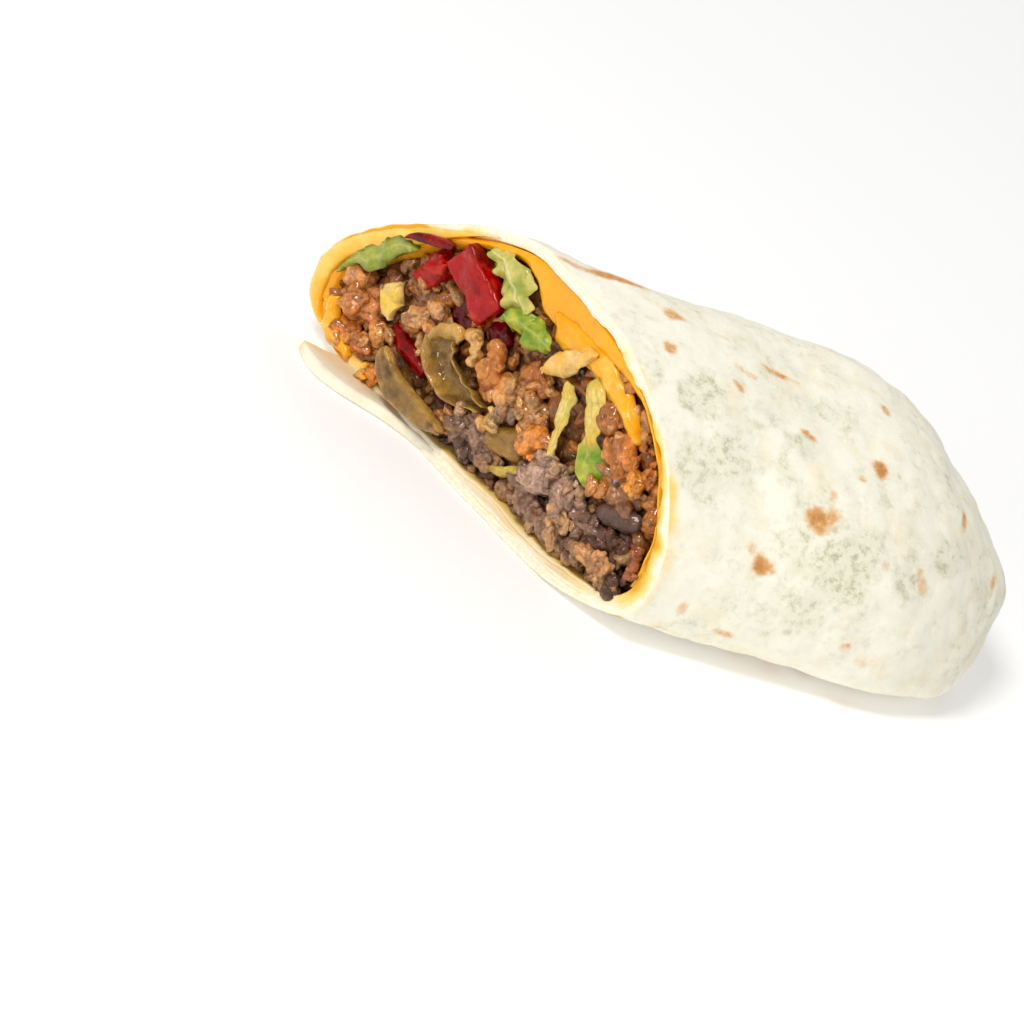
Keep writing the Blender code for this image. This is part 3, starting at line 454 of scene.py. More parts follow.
def grid_quads(rows, columns, start=0, closed=True, flip=False):
    """Faces of a grid of points. A closed one joins its last row to its first."""
    i = np.arange(rows if closed else rows - 1)[:, None]
    j = np.arange(columns - 1)[None, :]
    a = start + i * columns + j
    b = start + (i + 1) % rows * columns + j
    quads = np.stack([a, a + 1, b + 1, b], axis=-1).reshape(-1, 4)
    return quads[:, ::-1] if flip else quads


def strip_faces(rows, columns):
    """Faces of a loop of points drawn along a way: its skin, the seam that closes it and its two ends."""
    start = np.arange(rows - 1) * columns
    seam = np.stack([start + columns - 1, start, start + columns, start + 2 * columns - 1], axis=-1)
    ends = []
    for row in (0, rows - 1):
        for column in range(columns // 2 - 1):
            a = row * columns + column
            b = row * columns + columns - 1 - column
            ends.append([a, a + 1, b - 1, b])
    return [grid_quads(rows, columns, closed=False), seam, np.array(ends)]


def grid_normals(points):
    """Unit normals of a grid of points that closes round the roll, pointing away from its middle."""
    round_it = np.roll(points, -1, axis=0) - np.roll(points, 1, axis=0)
    normals = np.cross(np.gradient(points, axis=1), round_it)
    normals /= np.linalg.norm(normals, axis=-1, keepdims=True) + 1e-9
    outwards = ((points - points.mean(axis=(0, 1))) * normals).sum(axis=-1).mean()
    return normals if outwards > 0 else -normals


def place_object(name, data):
    item = bpy.data.objects.new(name, data)
    bpy.context.scene.collection.objects.link(item)
    return item


class Mesh:
    """Points, faces and named values gathered for one piece."""

    def __init__(self):
        self.points = []
        self.faces = []
        self.values = {}
        self.count = 0

    def add(self, points, faces, **values):
        """Adds one closed or open surface. Faces count from its own first point."""
        points = np.asarray(points, float).reshape(-1, 3)
        self.points.append(points)
        for group in faces if isinstance(faces, list) else [faces]:
            self.faces.append(np.asarray(group) + self.count)
        for name, value in values.items():
            width = 1 if np.ndim(value) < 1 or np.shape(value)[-1] != 3 else 3
            full = np.broadcast_to(np.asarray(value, float).reshape(-1, width), (len(points), width))
            self.values.setdefault(name, []).append(full)
        self.count += len(points)

    def build(self, name, material, node):
        """Makes the object. It rides with the food and stands for the node, which it hides."""
        mesh = bpy.data.meshes.new(name)
        faces = [face for group in self.faces for face in group.tolist()]
        mesh.from_pydata((np.concatenate(self.points) * MM).tolist(), [], faces)
        for label, parts in self.values.items():
            value = np.concatenate(parts)
            if value.shape[1] == 3:
                layer = mesh.attributes.new(label, "FLOAT_COLOR", "POINT")
                opaque = np.concatenate([value, np.ones((len(value), 1))], axis=1)
                layer.data.foreach_set("color", opaque.ravel())
            else:
                layer = mesh.attributes.new(label, "FLOAT", "POINT")
                layer.data.foreach_set("value", value.ravel())
        mesh.materials.append(material)
        mesh.update()
        item = place_object(name, mesh)
        tidy = bmesh.new()
        tidy.from_mesh(mesh)
        bmesh.ops.remove_doubles(tidy, verts=tidy.verts, dist=MERGE_DISTANCE)
        bmesh.ops.dissolve_degenerate(tidy, edges=tidy.edges, dist=MERGE_DISTANCE)
        bmesh.ops.recalc_face_normals(tidy, faces=tidy.faces)
        tidy.to_mesh(mesh)
        tidy.free()
        mesh.shade_smooth()
        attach(item, "root")
        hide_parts(node)


def smooth_path(points, count):
    """A smooth line through a few points, as that many points in even steps."""
    points = np.array(points, float)
    padded = np.concatenate([[2 * points[0] - points[1]], points, [2 * points[-1] - points[-2]]])
    spans = len(points) - 1
    value = np.linspace(0.0, spans, count)
    span = np.minimum(value.astype(int), spans - 1)
    t = (value - span)[:, None]
    p0, p1, p2, p3 = (padded[span + step] for step in range(4))
    bend = 2 * p0 - 5 * p1 + 4 * p2 - p3
    return 0.5 * (2 * p1 + (p2 - p0) * t + bend * t * t + (3 * p1 - p0 - 3 * p2 + p3) * t**3)


# Materials


class Shader:
    """A material with one Principled shader, and short ways to add nodes to it."""

    def __init__(self, name, **settings):
        self.material = bpy.data.materials.new(name)
        self.material.use_nodes = True
        self.tree = self.material.node_tree
        self.shader = self.tree.nodes["Principled BSDF"]
        self.set_inputs(self.shader, settings)
        place = self.node("TexCoord")
        scaled = self.node("VectorMath")
        scaled.operation = "SCALE"
        scaled.inputs["Scale"].default_value = 1.0 / MM
        self.tree.links.new(place.outputs["Object"], scaled.inputs[0])
        self.place = scaled.outputs[0]

    def set_inputs(self, node, settings):
        for label, value in settings.items():
            node.inputs[label.replace("_", " ")].default_value = value

    def node(self, kind, **settings):
        node = self.tree.nodes.new("ShaderNode" + kind)
        self.set_inputs(node, settings)
        return node

    def connect(self, value, socket):
        if isinstance(value, bpy.types.NodeSocket):
            self.tree.links.new(value, socket)
        elif isinstance(value, tuple) and len(value) == 3 and len(socket.default_value) == 4:
            socket.default_value = (*value, 1.0)
        else:
            socket.default_value = value

    def noise(self, size, detail=3.0, roughness=0.55, stretch=None):
        """Noise from 0 to 1 with features about size mm wide."""
        node = self.node("TexNoise", Scale=1.0 / size, Detail=detail, Roughness=roughness)
        place = self.place
        if stretch:
            mapping = self.node("Mapping", Scale=stretch)
            self.tree.links.new(place, mapping.inputs["Vector"])
            place = mapping.outputs[0]
        self.tree.links.new(place, node.inputs["Vector"])
        return node.outputs["Fac"]

    def cells(self, size):
        """How far a point is from the middle of its cell."""
        node = self.node("TexVoronoi", Scale=1.0 / size)
        self.tree.links.new(self.place, node.inputs["Vector"])
        return node.outputs["Distance"]

    def value(self, name, output="Fac"):
        """A named value of the mesh."""
        node = self.node("Attribute")
        node.attribute_name = name
        return node.outputs[output]

    def tint(self):
        return self.value("tint", "Color")

    def math(self, operation, first, second):
        node = self.node("Math")
        node.operation = operation
        self.connect(first, node.inputs[0])
        self.connect(second, node.inputs[1])
        return node.outputs[0]

    def plus(self, first, second):
        return self.math("ADD", first, second)

    def minus(self, first, second):
        return self.math("SUBTRACT", first, second)

    def times(self, first, second):
        return self.math("MULTIPLY", first, second)

    def between(self, value, low, high, first=0.0, last=1.0):
        """The value's way from low to high, eased at both ends."""
        node = self.node("MapRange", From_Min=low, From_Max=high, To_Min=first, To_Max=last)
        node.interpolation_type = "SMOOTHSTEP"
        self.connect(value, node.inputs["Value"])
        return node.outputs[0]

    def mix(self, share, first, second, blend="MIX"):
        node = self.node("Mix")
        node.data_type = "RGBA"
        node.blend_type = blend
        self.connect(share, node.inputs[0])
        self.connect(first, node.inputs[6])
        self.connect(second, node.inputs[7])
        return node.outputs[2]

    def bump(self, height, depth, strength):
        """Relief of the given depth in mm."""
        node = self.node("Bump", Strength=strength, Distance=depth * MM)
        self.connect(height, node.inputs["Height"])
        self.connect(node.outputs[0], self.shader.inputs["Normal"])

    def finish(self, base, roughness=None):
        self.connect(base, self.shader.inputs["Base Color"])
        if roughness is not None:
            self.connect(roughness, self.shader.inputs["Roughness"])
        return self.material


def scattering(weight, reach, red, green, blue):
    """Settings for light that travels through the food, as far as reach in mm."""
    return {
        "Subsurface_Weight": weight,
        "Subsurface_Radius": (red, green, blue),
        "Subsurface_Scale": reach * MM,
    }


def stained(s, base, stain):
    """The wrap's colour with cheese and sauce soaked into it."""
    base = s.mix(s.between(stain, 0.2, 0.9), base, STAIN)
    return s.mix(s.between(stain, 0.8, 1.4), base, STAIN_DEEP)


def tortilla_material():
    """Cream flour dough, mottled by what lies under it, toasted in spots and bare at its cut edge."""
    s = Shader("tortilla", Coat_Weight=0.0, Specular_IOR_Level=0.1, **scattering(0.2, 2.0, 1.0, 0.75, 0.5))
    cloud = s.noise(7.0, 4.0, 0.6)
    fine = s.noise(0.9, 3.0, 0.65)
    speck = s.noise(1.9, 5.0, 0.72)
    base = s.mix(s.between(cloud, 0.46, 0.7, 0.0, 0.7), CREAM, CREAM_DEEP)
    mottle = s.plus(s.times(s.noise(4.5, 4.0, 0.65), 0.9), s.times(s.value("shadow"), 0.6))
    mottle = s.between(mottle, 0.42, 0.95)
    base = s.mix(s.times(mottle, 0.85), base, PALE_GREEN)
    dots = s.times(mottle, s.between(speck, 0.44, 0.68))
    base = s.mix(s.times(dots, 0.75), base, GREY_GREEN)
    uneven = s.times(s.minus(s.noise(2.6, 4.0), 0.5), 0.6)
    stain = s.plus(s.value("stain"), uneven)
    base = stained(s, base, stain)
    edge = s.plus(s.times(s.minus(fine, 0.5), 0.7), uneven)
    burnt = s.value("toast")
    toast = s.plus(burnt, s.times(edge, s.between(burnt, 0.03, 0.3)))
    base = s.mix(s.between(toast, 0.08, 0.95), base, TOAST_LIGHT)
    base = s.mix(s.between(toast, 0.6, 1.2, 0.0, 0.8), base, TOAST_DARK)
    crumb = s.mix(s.between(fine, 0.35, 0.7), CREAM_DEEP, CREAM)
    crumb = s.mix(s.value("dough"), crumb, DOUGH)
    base = s.mix(s.value("cut"), base, stained(s, crumb, stain))
    s.bump(s.plus(s.times(s.noise(1.3, 4.0, 0.6), 0.8), s.times(speck, 0.35)), 0.25, 0.7)
    return s.finish(base, s.between(fine, 0.3, 0.7, 0.55, 0.75))


def wet_shader(name, coat, gloss, specular, scatter):
    """Moist food: a clear coat as rough as gloss says, and light that travels through it."""
    settings = scattering(*scatter)
    return Shader(name, Coat_Weight=coat, Coat_Roughness=gloss, Specular_IOR_Level=specular, **settings)


def cheese_material():
    s = wet_shader("cheese", 0.8, 0.07, 0.05, (0.3, 3.0, 1.0, 0.42, 0.05))
    base = s.mix(s.between(s.noise(5.0, 3.0, 0.5), 0.4, 0.75, 0.0, 0.5), s.tint(), CHEESE_YELLOW)
    s.bump(s.noise(1.9, 4.0, 0.55), 0.45, 0.6)
    return s.finish(base, s.between(s.noise(2.4), 0.3, 0.7, 0.2, 0.42))


def beef_material(name, wet):
    """Grains of meat, with painted shade where they meet and in the pits between them, and pale fibres along
    them.
    """
    s = wet_shader(name, wet, 0.1, 0.1, (0.12, 1.0, 1.0, 0.4, 0.15))
    fine = s.noise(0.45, 4.0, 0.7)
    fibre = s.noise(0.8, 3.0, 0.6, (1.0, 2.6, 1.0))
    crumb = s.cells(0.8)
    # Painted shade: darker towards the edges of each grain's cell and where the fine noise is low, the
    # creases and pits of the bump
    base = s.mix(s.between(crumb, 0.35, 0.8, 0.0, 0.45), s.tint(), (0.42, 0.34, 0.3), "MULTIPLY")
    base = s.mix(s.between(fine, 0.34, 0.6, 0.5, 0.0), base, (0.55, 0.46, 0.42), "MULTIPLY")
    base = s.mix(s.between(fibre, 0.52, 0.72, 0.0, 0.5), base, (1.5, 1.4, 1.25), "MULTIPLY")
    s.bump(s.minus(s.plus(fine, s.times(fibre, 0.6)), s.times(crumb, 0.8)), 0.4, 0.85)
    return s.finish(base, s.between(fine, 0.3, 0.7, 0.34, 0.6))


def wet_material(name, coat, reach, spread, relief=0.12, rough_low=0.16, rough_high=0.34, weight=0.2):
    """Cut vegetable: its colour comes from the piece, with finer streaks on top."""
    s = wet_shader(name, coat, 0.07, 0.05, (weight, reach, *spread))
    streak = s.noise(0.9, 4.0, 0.6)
    base = s.mix(s.between(streak, 0.3, 0.7, 0.4, 0.0), s.tint(), (0.6, 0.55, 0.5), "MULTIPLY")
    base = s.mix(s.between(s.noise(0.4, 2.0), 0.58, 0.72, 0.0, 0.35), base, (1.5, 1.5, 1.4), "MULTIPLY")
    s.bump(s.plus(streak, s.times(s.noise(0.4, 2.0), 0.6)), relief * 1.6, 0.8)
    return s.finish(base, s.between(streak, 0.3, 0.7, rough_low, rough_high))


# The wrap


def spot_share(points, angles, centre, angle, along, around, turn):
    """How far a point is from the middle of an oval mark on the wrap, in parts of the mark's size."""
    offset = points - centre
    lengthwise = offset[..., 0]
    sideways = np.sqrt(np.maximum((offset**2).sum(axis=-1) - lengthwise**2, 0.0))
    sideways = sideways * np.where(angles > math.radians(angle), 1.0, -1.0)
    c, s = math.cos(math.radians(turn)), math.sin(math.radians(turn))
    return np.hypot((lengthwise * c + sideways * s) / along, (sideways * c - lengthwise * s) / around)


def nearest_on(points, angles, angle, x):
    """The point of the outer surface at an angle and a place along the roll."""
    row = np.argmin(np.abs(angles - math.radians(angle % 360.0)))
    column = np.argmin(np.abs(points[row, :, 0] - x))
    return points[row, column]


def wrap_marks(points, angles):
    """How toasted and how shadowed each point of the outer surface is."""
    angle = np.broadcast_to(angles[:, None], points.shape[:2])
    wobble = 0.55 * rough(points, 2.4, 21)
    toast = np.zeros(points.shape[:2])
    rng = random.Random(5)
    spots = list(TOASTED)
    for _ in range(FAR_SPOTS):
        place = rng.choice([rng.uniform(-70.0, 78.0), rng.uniform(-28.0, 70.0), rng.uniform(205.0, 290.0)])
        size = rng.uniform(0.7, 2.6)
        x, longer = rng.uniform(-30.0, 60.0), rng.uniform(1, 1.8)
        spots.append((place % 360, x, size * longer, size, rng.uniform(-40, 40), rng.uniform(0.4, 1.0)))
    for place, x, along, around, turn, strength in spots:
        centre = nearest_on(points, angles, place, x)
        share = spot_share(points, angle, centre, place, along, around, turn) + wobble
        toast = np.maximum(toast, strength * smooth_step((1.5 - share) / 1.1))
    shadow = 0.25 * patches(points, 14.0, 31, 0.5, 1.0)
    for place, x, radius, strength in SHADOWED:
        centre = nearest_on(points, angles, place, x)
        distance = np.linalg.norm(points - centre, axis=-1) / radius
        shadow = np.maximum(shadow, strength * smooth_step(1.15 - distance + 0.5 * rough(points, 5.0, 41)))
    return toast, shadow


def cut_depth(points):
    """How far behind the cut plane a point lies."""
    return -((points - FACE_ORIGIN) @ FACE_OUT)


def far_edge(degrees, width=40.0):
    """1 where the wrap's edge is soaked on the far side of the cut, falling to 0 round the section."""
    degrees = (degrees + 120.0) % 360.0 - 120.0
    return np.exp(-(((degrees - 6.0) / width) ** 4))


def wrap_stain(points, angles):
    """Where cheese and sauce have coloured the wrap along its cut edge."""
    degrees = np.degrees(angles)[:, None]
    far = far_edge(degrees, 56.0)
    reach = 1.0 + 2.2 * hump(degrees, 168.0, 30.0) + 2.0 * far
    strength = 0.5 + 1.3 * far + 0.3 * hump(degrees, 168.0, 34.0)
    depth = np.maximum(cut_depth(points), 0.0)
    return strength * np.exp(-((depth / reach) ** 1.3)) * (0.85 + 0.7 * noise(points, 5.0, 51))


def end_folds(points):
    """The tucked layers at the closed end: one overlaps the other, with a pleat on each side."""
    y, z = points[..., 1], points[..., 2]
    behind = smooth_step((points[..., 0] - 46.0) / 12.0)
    above = z - 14.0 - 0.3 * y - 1.8 * np.sin(y / 11.0) - 0.5 * noise(points, 6.0, 66)
    overlap = 1.8 * smooth_step(above / 0.7 + 0.5) * np.exp(-np.maximum(above, 0.0) / 9.0)
    pleats = 0.0
    for side in (-1.0, 1.0):
        apart = (z - 44.0 + side * y + 1.5 * noise(points, 9.0, 67)) / math.sqrt(2.0)
        pleat = 0.9 * hump(apart, 1.6, 1.6) - 0.8 * hump(apart, 0.0, 0.8)
        pleats = pleats + hump(side * y, 25.0, 11.0) * pleat
    return (overlap + pleats) * behind


def wrap_relief(points):
    """Soft dents, creases and blisters of the wrap, flattened where it rests on its base."""
    soft = 0.55 * noise(points, 17.0, 61) + 0.3 * noise(points, 8.0, 62)
    crease = 0.22 * (1.0 - 2.0 * np.abs(noise(points * np.array([0.45, 1.0, 1.0]), 5.5, 63)))
    blister, _ = lumps_of(points, 6.0, 64)
    fine = 0.06 * rough(points, 1.6, 65)
    relief = soft + crease * 0.6 + 0.25 * smooth_step((blister - 0.55) / 0.4) + fine
    return (relief + end_folds(points)) * smooth_step(points[..., 2] / 4.0)


def cut_rim(angles, outer, inner, layered):
    """The wrap's edge at the cut, from its outer to its inner skin: points, stain and bare dough."""
    share = steps(22)[None, 1:-1]
    rim = mixed(outer[:, :1], inner[:, :1], share)
    drift = 0.12 * noise(outer[:, 0], 11.0, 72)[:, None]
    grooves = hump(share - 0.36, drift, 0.1) + hump(share - 0.72, -drift, 0.09)
    out = 0.22 * np.sin(math.pi * share) ** 0.6 - 0.75 * layered * grooves + 0.25 * rough(rim, 1.8, 73)
    rim = moved_out(rim, out)
    degrees = np.degrees(angles)[:, None]
    soaked = 0.12 + 0.8 * hump(degrees, 165.0, 40.0) + 1.5 * far_edge(degrees, 50.0)
    stain = soaked * (0.3 + 1.2 * share + 0.9 * noise(rim, 3.4, 74)) + 0.25 * layered * grooves
    dough = layered * smooth_step((share - 0.45) / 0.2) * (0.7 + 0.6 * noise(rim, 6.0, 75))
    return rim, stain, dough


def tortilla():
    """The wrap: its outer and inner skins, the layered edge between them at the cut, and its free flap."""
    angles = round_angles(372)
    stations = 1.0 - (1.0 - steps(160)) ** 0.8
    outer = wrap_points(angles, stations)
    toast, shadow = wrap_marks(outer, angles)
    stain = wrap_stain(outer, angles)
    relief = wrap_relief(outer) * smooth_step((1.0 - stations) / 0.05)
    outer = outer + grid_normals(outer) * relief[..., None]
    under = smooth_step(-np.sin(angles) * 3.0)
    layered = (base_layers(section_side(angles)[0]) * under)[:, None]
    near = smooth_step(-np.cos(angles) * 2.0) * smooth_step(np.sin(angles) * 4.0 + 1.0)
    ripple = 0.8 * noise(outer[:, 0], 3.6, 76) + 0.45 * noise(outer[:, 0], 1.6, 77) - 0.3
    thick = wrap_thickness(angles) + near * ripple
    inner_stations = steps(26) ** 1.6
    inner = wrap_points(angles, inner_stations, thick[:, None], -BASE_THINNING * layered, 0.0, WRAP)
    inner[:, 0] += grid_normals(outer)[:, 0] * relief[:, :1] * 0.5
    uneven = 0.6 * rough(outer[:, 0], 6.0, 71)[:, None]
    outer = moved_out(outer, (uneven + TONGUE * layered) * hump(cut_depth(outer), 0.0, 2.5))
    inner = moved_out(inner, uneven * hump(cut_depth(inner), 0.0, 2.0))
    rim, rim_stain, rim_dough = cut_rim(angles, outer, inner, layered)
    points = np.concatenate([outer[:, ::-1], rim, inner], axis=1)
    skin = np.ones(inner.shape[:2])
    none_in = np.zeros((len(angles), rim.shape[1] + inner.shape[1]))
    none_out = np.zeros(outer.shape[:2])

    def everywhere(outside, inside):
        """Values for all points, from those of the outer skin and those of the rim and inner skin."""
        return np.concatenate([outside[:, ::-1], inside], axis=1)

    shell = Mesh()
    shell.add(
        points,
        grid_quads(*points.shape[:2]),
        toast=everywhere(toast, none_in),
        shadow=everywhere(shadow, none_in),
        stain=everywhere(stain, np.concatenate([rim_stain, 0.75 * skin], axis=1)),
        dough=np.clip(everywhere(none_out, np.concatenate([rim_dough, layered * skin], axis=1)), 0.0, 1.0),
        cut=everywhere(none_out, none_in + 1.0),
    )
    add_flap(shell)
    shell.build("tortilla_wrap", tortilla_material(), "tortilla")


def add_flap(shell):
    """The wrap's free edge, a thin tongue that sticks out of the cut at its far corner."""
    count, sides = 110, 22
    along = steps(count)[:, None]
    share = steps(sides)[None]
    plan = mixed(smooth_path(FLAP_FRONT, count)[:, None], smooth_path(FLAP_BACK, count)[:, None], share)
    places = np.concatenate([plan, np.zeros((count, sides, 1))], axis=-1)
    flat = on_face(places[..., [0, 2, 1]])
    round_edge = np.sqrt(1.0 - (1.0 - smooth_step(share / 0.12)) ** 2)
    thick = (0.35 + 1.55 * round_edge * smooth_step(along / 0.08)) * (0.5 + 0.5 * round_edge)
    wave = 0.25 * noise(flat, 5.0, 81) * round_edge
    middle = thick / 2 + 0.15
    upper = flat + FACE_UP * (middle + thick / 2 + wave * 0.4)[..., None]
    lower = flat + FACE_UP * (middle - thick / 2)[..., None]
    edge = hump(share, 0.0, 0.2) * (0.6 + 0.8 * noise(flat, 3.5, 82))
    tip = hump(along, 0.0, 0.2) * (0.6 + 0.6 * noise(flat, 4.0, 83))
    stain = np.clip(edge * 0.2 + tip, 0.0, 1.1)
    soaked = 0.2 + 0.7 * smooth_step((share[0] - 0.1) / 0.45)
    shell.add(
        np.concatenate([upper, lower[:, ::-1]], axis=1),
        strip_faces(count, 2 * sides),
        toast=0.0,
        shadow=0.15,
        stain=np.concatenate([stain, stain[:, ::-1]], axis=1),
        dough=1.0,
        cut=np.tile(np.concatenate([soaked, soaked[::-1]]), count),
    )


# Cheese


def cheese_thickness(angles):
    """Thick at the crown and on the far side, and nothing underneath."""
    degrees = (np.degrees(angles) + 90.0) % 360.0 - 90.0
    thick = 1.3 + 2.6 * hump(degrees, 18.0, 26.0) + 6.2 * hump(degrees, 98.0, 15.0)
    return thick * smooth_step((np.sin(angles) + 0.95) / 0.4)


def cheese_tint(points, *_):
    base = mixed(CHEESE_ORANGE, CHEESE_YELLOW, 0.8 * patches(points, 5.0, 95, 0.45))
    return mixed(base, CHEESE_PALE, 0.45 * patches(points, 2.6, 96, 0.0, 2.2))


def add_lip(body):
    """Cheese that has run over the wrap's cut edge on the far side."""
    count, rows = 240, 14
    angles = np.radians(np.linspace(-64.0, 66.0, count))
    u = steps(count)[:, None]
    v = steps(rows)[None, :]
    half = wrap_thickness(angles)[:, None] / 2
    fade = smooth_step(np.minimum(u, 1.0 - u) / 0.24)
    outside = wrap_points(angles, [0.0], half * (1.0 - fade) + 0.05)
    inside = wrap_points(angles, [0.0], half * (1.0 + fade) + 2.4 * fade)
    flat = mixed(outside, inside, v)
    swell = dome(v, 3) * dome(u, 8)
    height = (0.6 + 0.6 * v + 0.35 * rough(flat, 4.5, 94)) * swell
    tint = mixed(cheese_tint(flat), CHEESE_PALE, 0.9 * (1.0 - v) ** 1.2)
    add_slab(body, moved_out(flat, 0.1 + height), moved_out(flat, 0.1 - 0.9 * swell), tint)


def cheese():
    """The melted lining: a smooth band with a soft, uneven front, a lip over the wrap's edge and smears."""
    angles = np.radians(np.linspace(-32.0, 188.0, 380))
    degrees = np.degrees(angles)[:, None]
    room = wrap_thickness(angles)[:, None] + GAP * 0.4
    near = smooth_step((degrees - 116.0) / 20.0)
    thick = cheese_thickness(angles)[:, None] * (1.0 - 0.55 * near) + 0.3 - 0.2 * near
    stations = np.linspace(0.0, 0.86, 14) ** 1.5
    outer = wrap_points(angles, stations, room, GAP * 0.4, 0.2, WRAP + 2 * GAP)
    wander = 0.9 * rough(outer[:, 0], 5.0, 91)[:, None] * smooth_step(thick / 2.0)
    inner = wrap_points(angles, stations, room + thick + wander, GAP, 0.6, WRAP + 4.0)
    share = steps(22)[None, 1:-1]
    front = mixed(outer[:, :1], inner[:, :1], share)
    swell = 0.75 * np.sin(math.pi * share) ** 0.7 * (1.0 - 1.6 * hump(degrees, 99.0, 12.0))
    out = swell * (1.0 - 0.6 * near) + 0.5 * rough(front, 3.4, 92)
    ring = np.concatenate([outer[:, ::-1], moved_out(front, out), inner], axis=1)
    pale = hump(degrees, 168.0, 34.0) * 0.9 + 0.15 * hump(degrees, 60.0, 30.0)
    tint = mixed(CHEESE_ORANGE, CHEESE_YELLOW, np.clip(0.5 * patches(ring, 7.0, 93) + pale, 0.0, 1.0))
    body = Mesh()
    body.add(ring, strip_faces(*ring.shape[:2]), tint=tint)
    add_lip(body)
    for number, (one_edge, other_edge, out) in enumerate(CHEESE_SMEARS, 40):
        relief = ruffle(0.25, 5.0, number, 0.8)
        add_plate(body, one_edge, other_edge, out, cheese_tint, 1.5, relief, 0.5, 64, 22)
    body.build("cheese_melt", cheese_material(), "cheese")


# Minced beef


@functools.cache
def sphere(level):
    """Points and triangles of a round lump of radius 1."""
    mesh = bmesh.new()
    bmesh.ops.create_icosphere(mesh, subdivisions=level, radius=1.0)
    points = np.array([v.co for v in mesh.verts])
    faces = np.array([[v.index for v in f.verts] for f in mesh.faces])
    mesh.free()
    return points, faces


def rotation(axis, degrees):
    return Matrix.Rotation(math.radians(degrees), 3, axis)


def add_lump(heap, rng, place, radii, turn, tint, grain, sauce, level):
    """One irregular lump of minced meat, with painted shade between its grains, on its back and deeper in the
    face, and touched with sauce.
    """
    unit, faces = sphere(level)
    seat = np.array([rng.uniform(0.0, 400.0) for _ in range(3)])
    mean = sum(radii) / 3
    own = unit * mean + seat
    bend = np.stack([noise(own, 1.1, seed) for seed in (107, 108, 109)], axis=-1)
    lump, shade = lumps_of((own + 0.4 * bend) * np.array([1.0, 0.7, 1.0]), 1.25, 106)
    form = 0.42 * noise(own, mean * 1.2, 103) + 0.3 * noise(own, mean * 0.55, 104)
    depth = grain * (0.6 * (lump - 0.6) + 0.3 * rough(own, 0.7, 102))
    points = unit * np.array(radii) * (1.0 + form + depth / mean)[:, None]
    tilt = [Matrix.Rotation(rng.uniform(-0.5, 0.5), 3, axis) for axis in "XY"]
    points = points @ np.array(rotation("Z", turn) @ (tilt[0] @ tilt[1])).T
    # Painted light and shade: darker on the lump's back side and the deeper it lies behind the cut face
    painted_light = smooth_step(0.75 + 0.5 * points[:, 2] / radii[2])
    painted_light = painted_light * (0.3 + 0.7 * smooth_step((points[:, 2] + place[2] + 4.4) / 3.2))
    # Painted shade in the creases between grains, times a random tone for each grain
    painted_shade_and_tone = MINCE_LIGHT * (0.22 + 0.9 * smooth_step(lump * 1.5)) * (1.0 + 0.7 * (shade - 0.5))
    painted_shade_and_tone = (painted_shade_and_tone * (0.3 + 0.76 * painted_light))[:, None]
    coated = 0.55 * sauce * smooth_step((noise(own, 2.4, 105) - 0.1) / 0.5)
    tints = mixed(np.asarray(tint) * painted_shade_and_tone, np.asarray(SAUCE) * painted_shade_and_tone, coated)
    heap.add(on_face(points + np.asarray(place)), faces, tint=tints)


def add_chunk(heap, rng, place, radii, turn, tint, craggy, sauce):
    """A large piece of minced beef: a lump with smaller crumbs stuck to it. A smooth one is meshed finer."""
    level = 5 if craggy < 0.2 else 4
    add_lump(heap, rng, place, [r * 0.9 for r in radii], turn, tint, craggy, sauce, level)
    spin = np.array(rotation("Z", turn))
    for _ in range(round(15 * craggy)):
        side = np.array([rng.gauss(0.0, 1.0), rng.gauss(0.0, 1.0), abs(rng.gauss(0.3, 0.8))])
        side = side / np.linalg.norm(side) * np.array(radii) * rng.uniform(0.78, 1.0)
        size = rng.triangular(0.5, 1.8, 0.9) * (0.7 + 0.1 * max(radii))
        pale = rng.random() < 0.3
        shade = mixed(tint, CRUMB_PALE, 0.4 if pale else 0.0) * rng.uniform(0.75, 1.15)
        shape = (size * rng.uniform(1.0, 1.6), size * rng.uniform(0.7, 1.0), size * rng.uniform(0.6, 0.9))
        add_lump(heap, rng, np.asarray(place) + spin @ side, shape, rng.uniform(0, 360), shade, 0.7, sauce, 3)


def layer_height(across):
    """Height on the cut face where the plain beef ends and the sauced beef begins."""
    swell = 4.6 * hump(across, -1.0, 7.0) + 6.0 * hump(across, 25.0, 8.0)
    return 7.6 + 0.2 * across + swell - 7.5 * smooth_step((-10.0 - across) / 8.0)


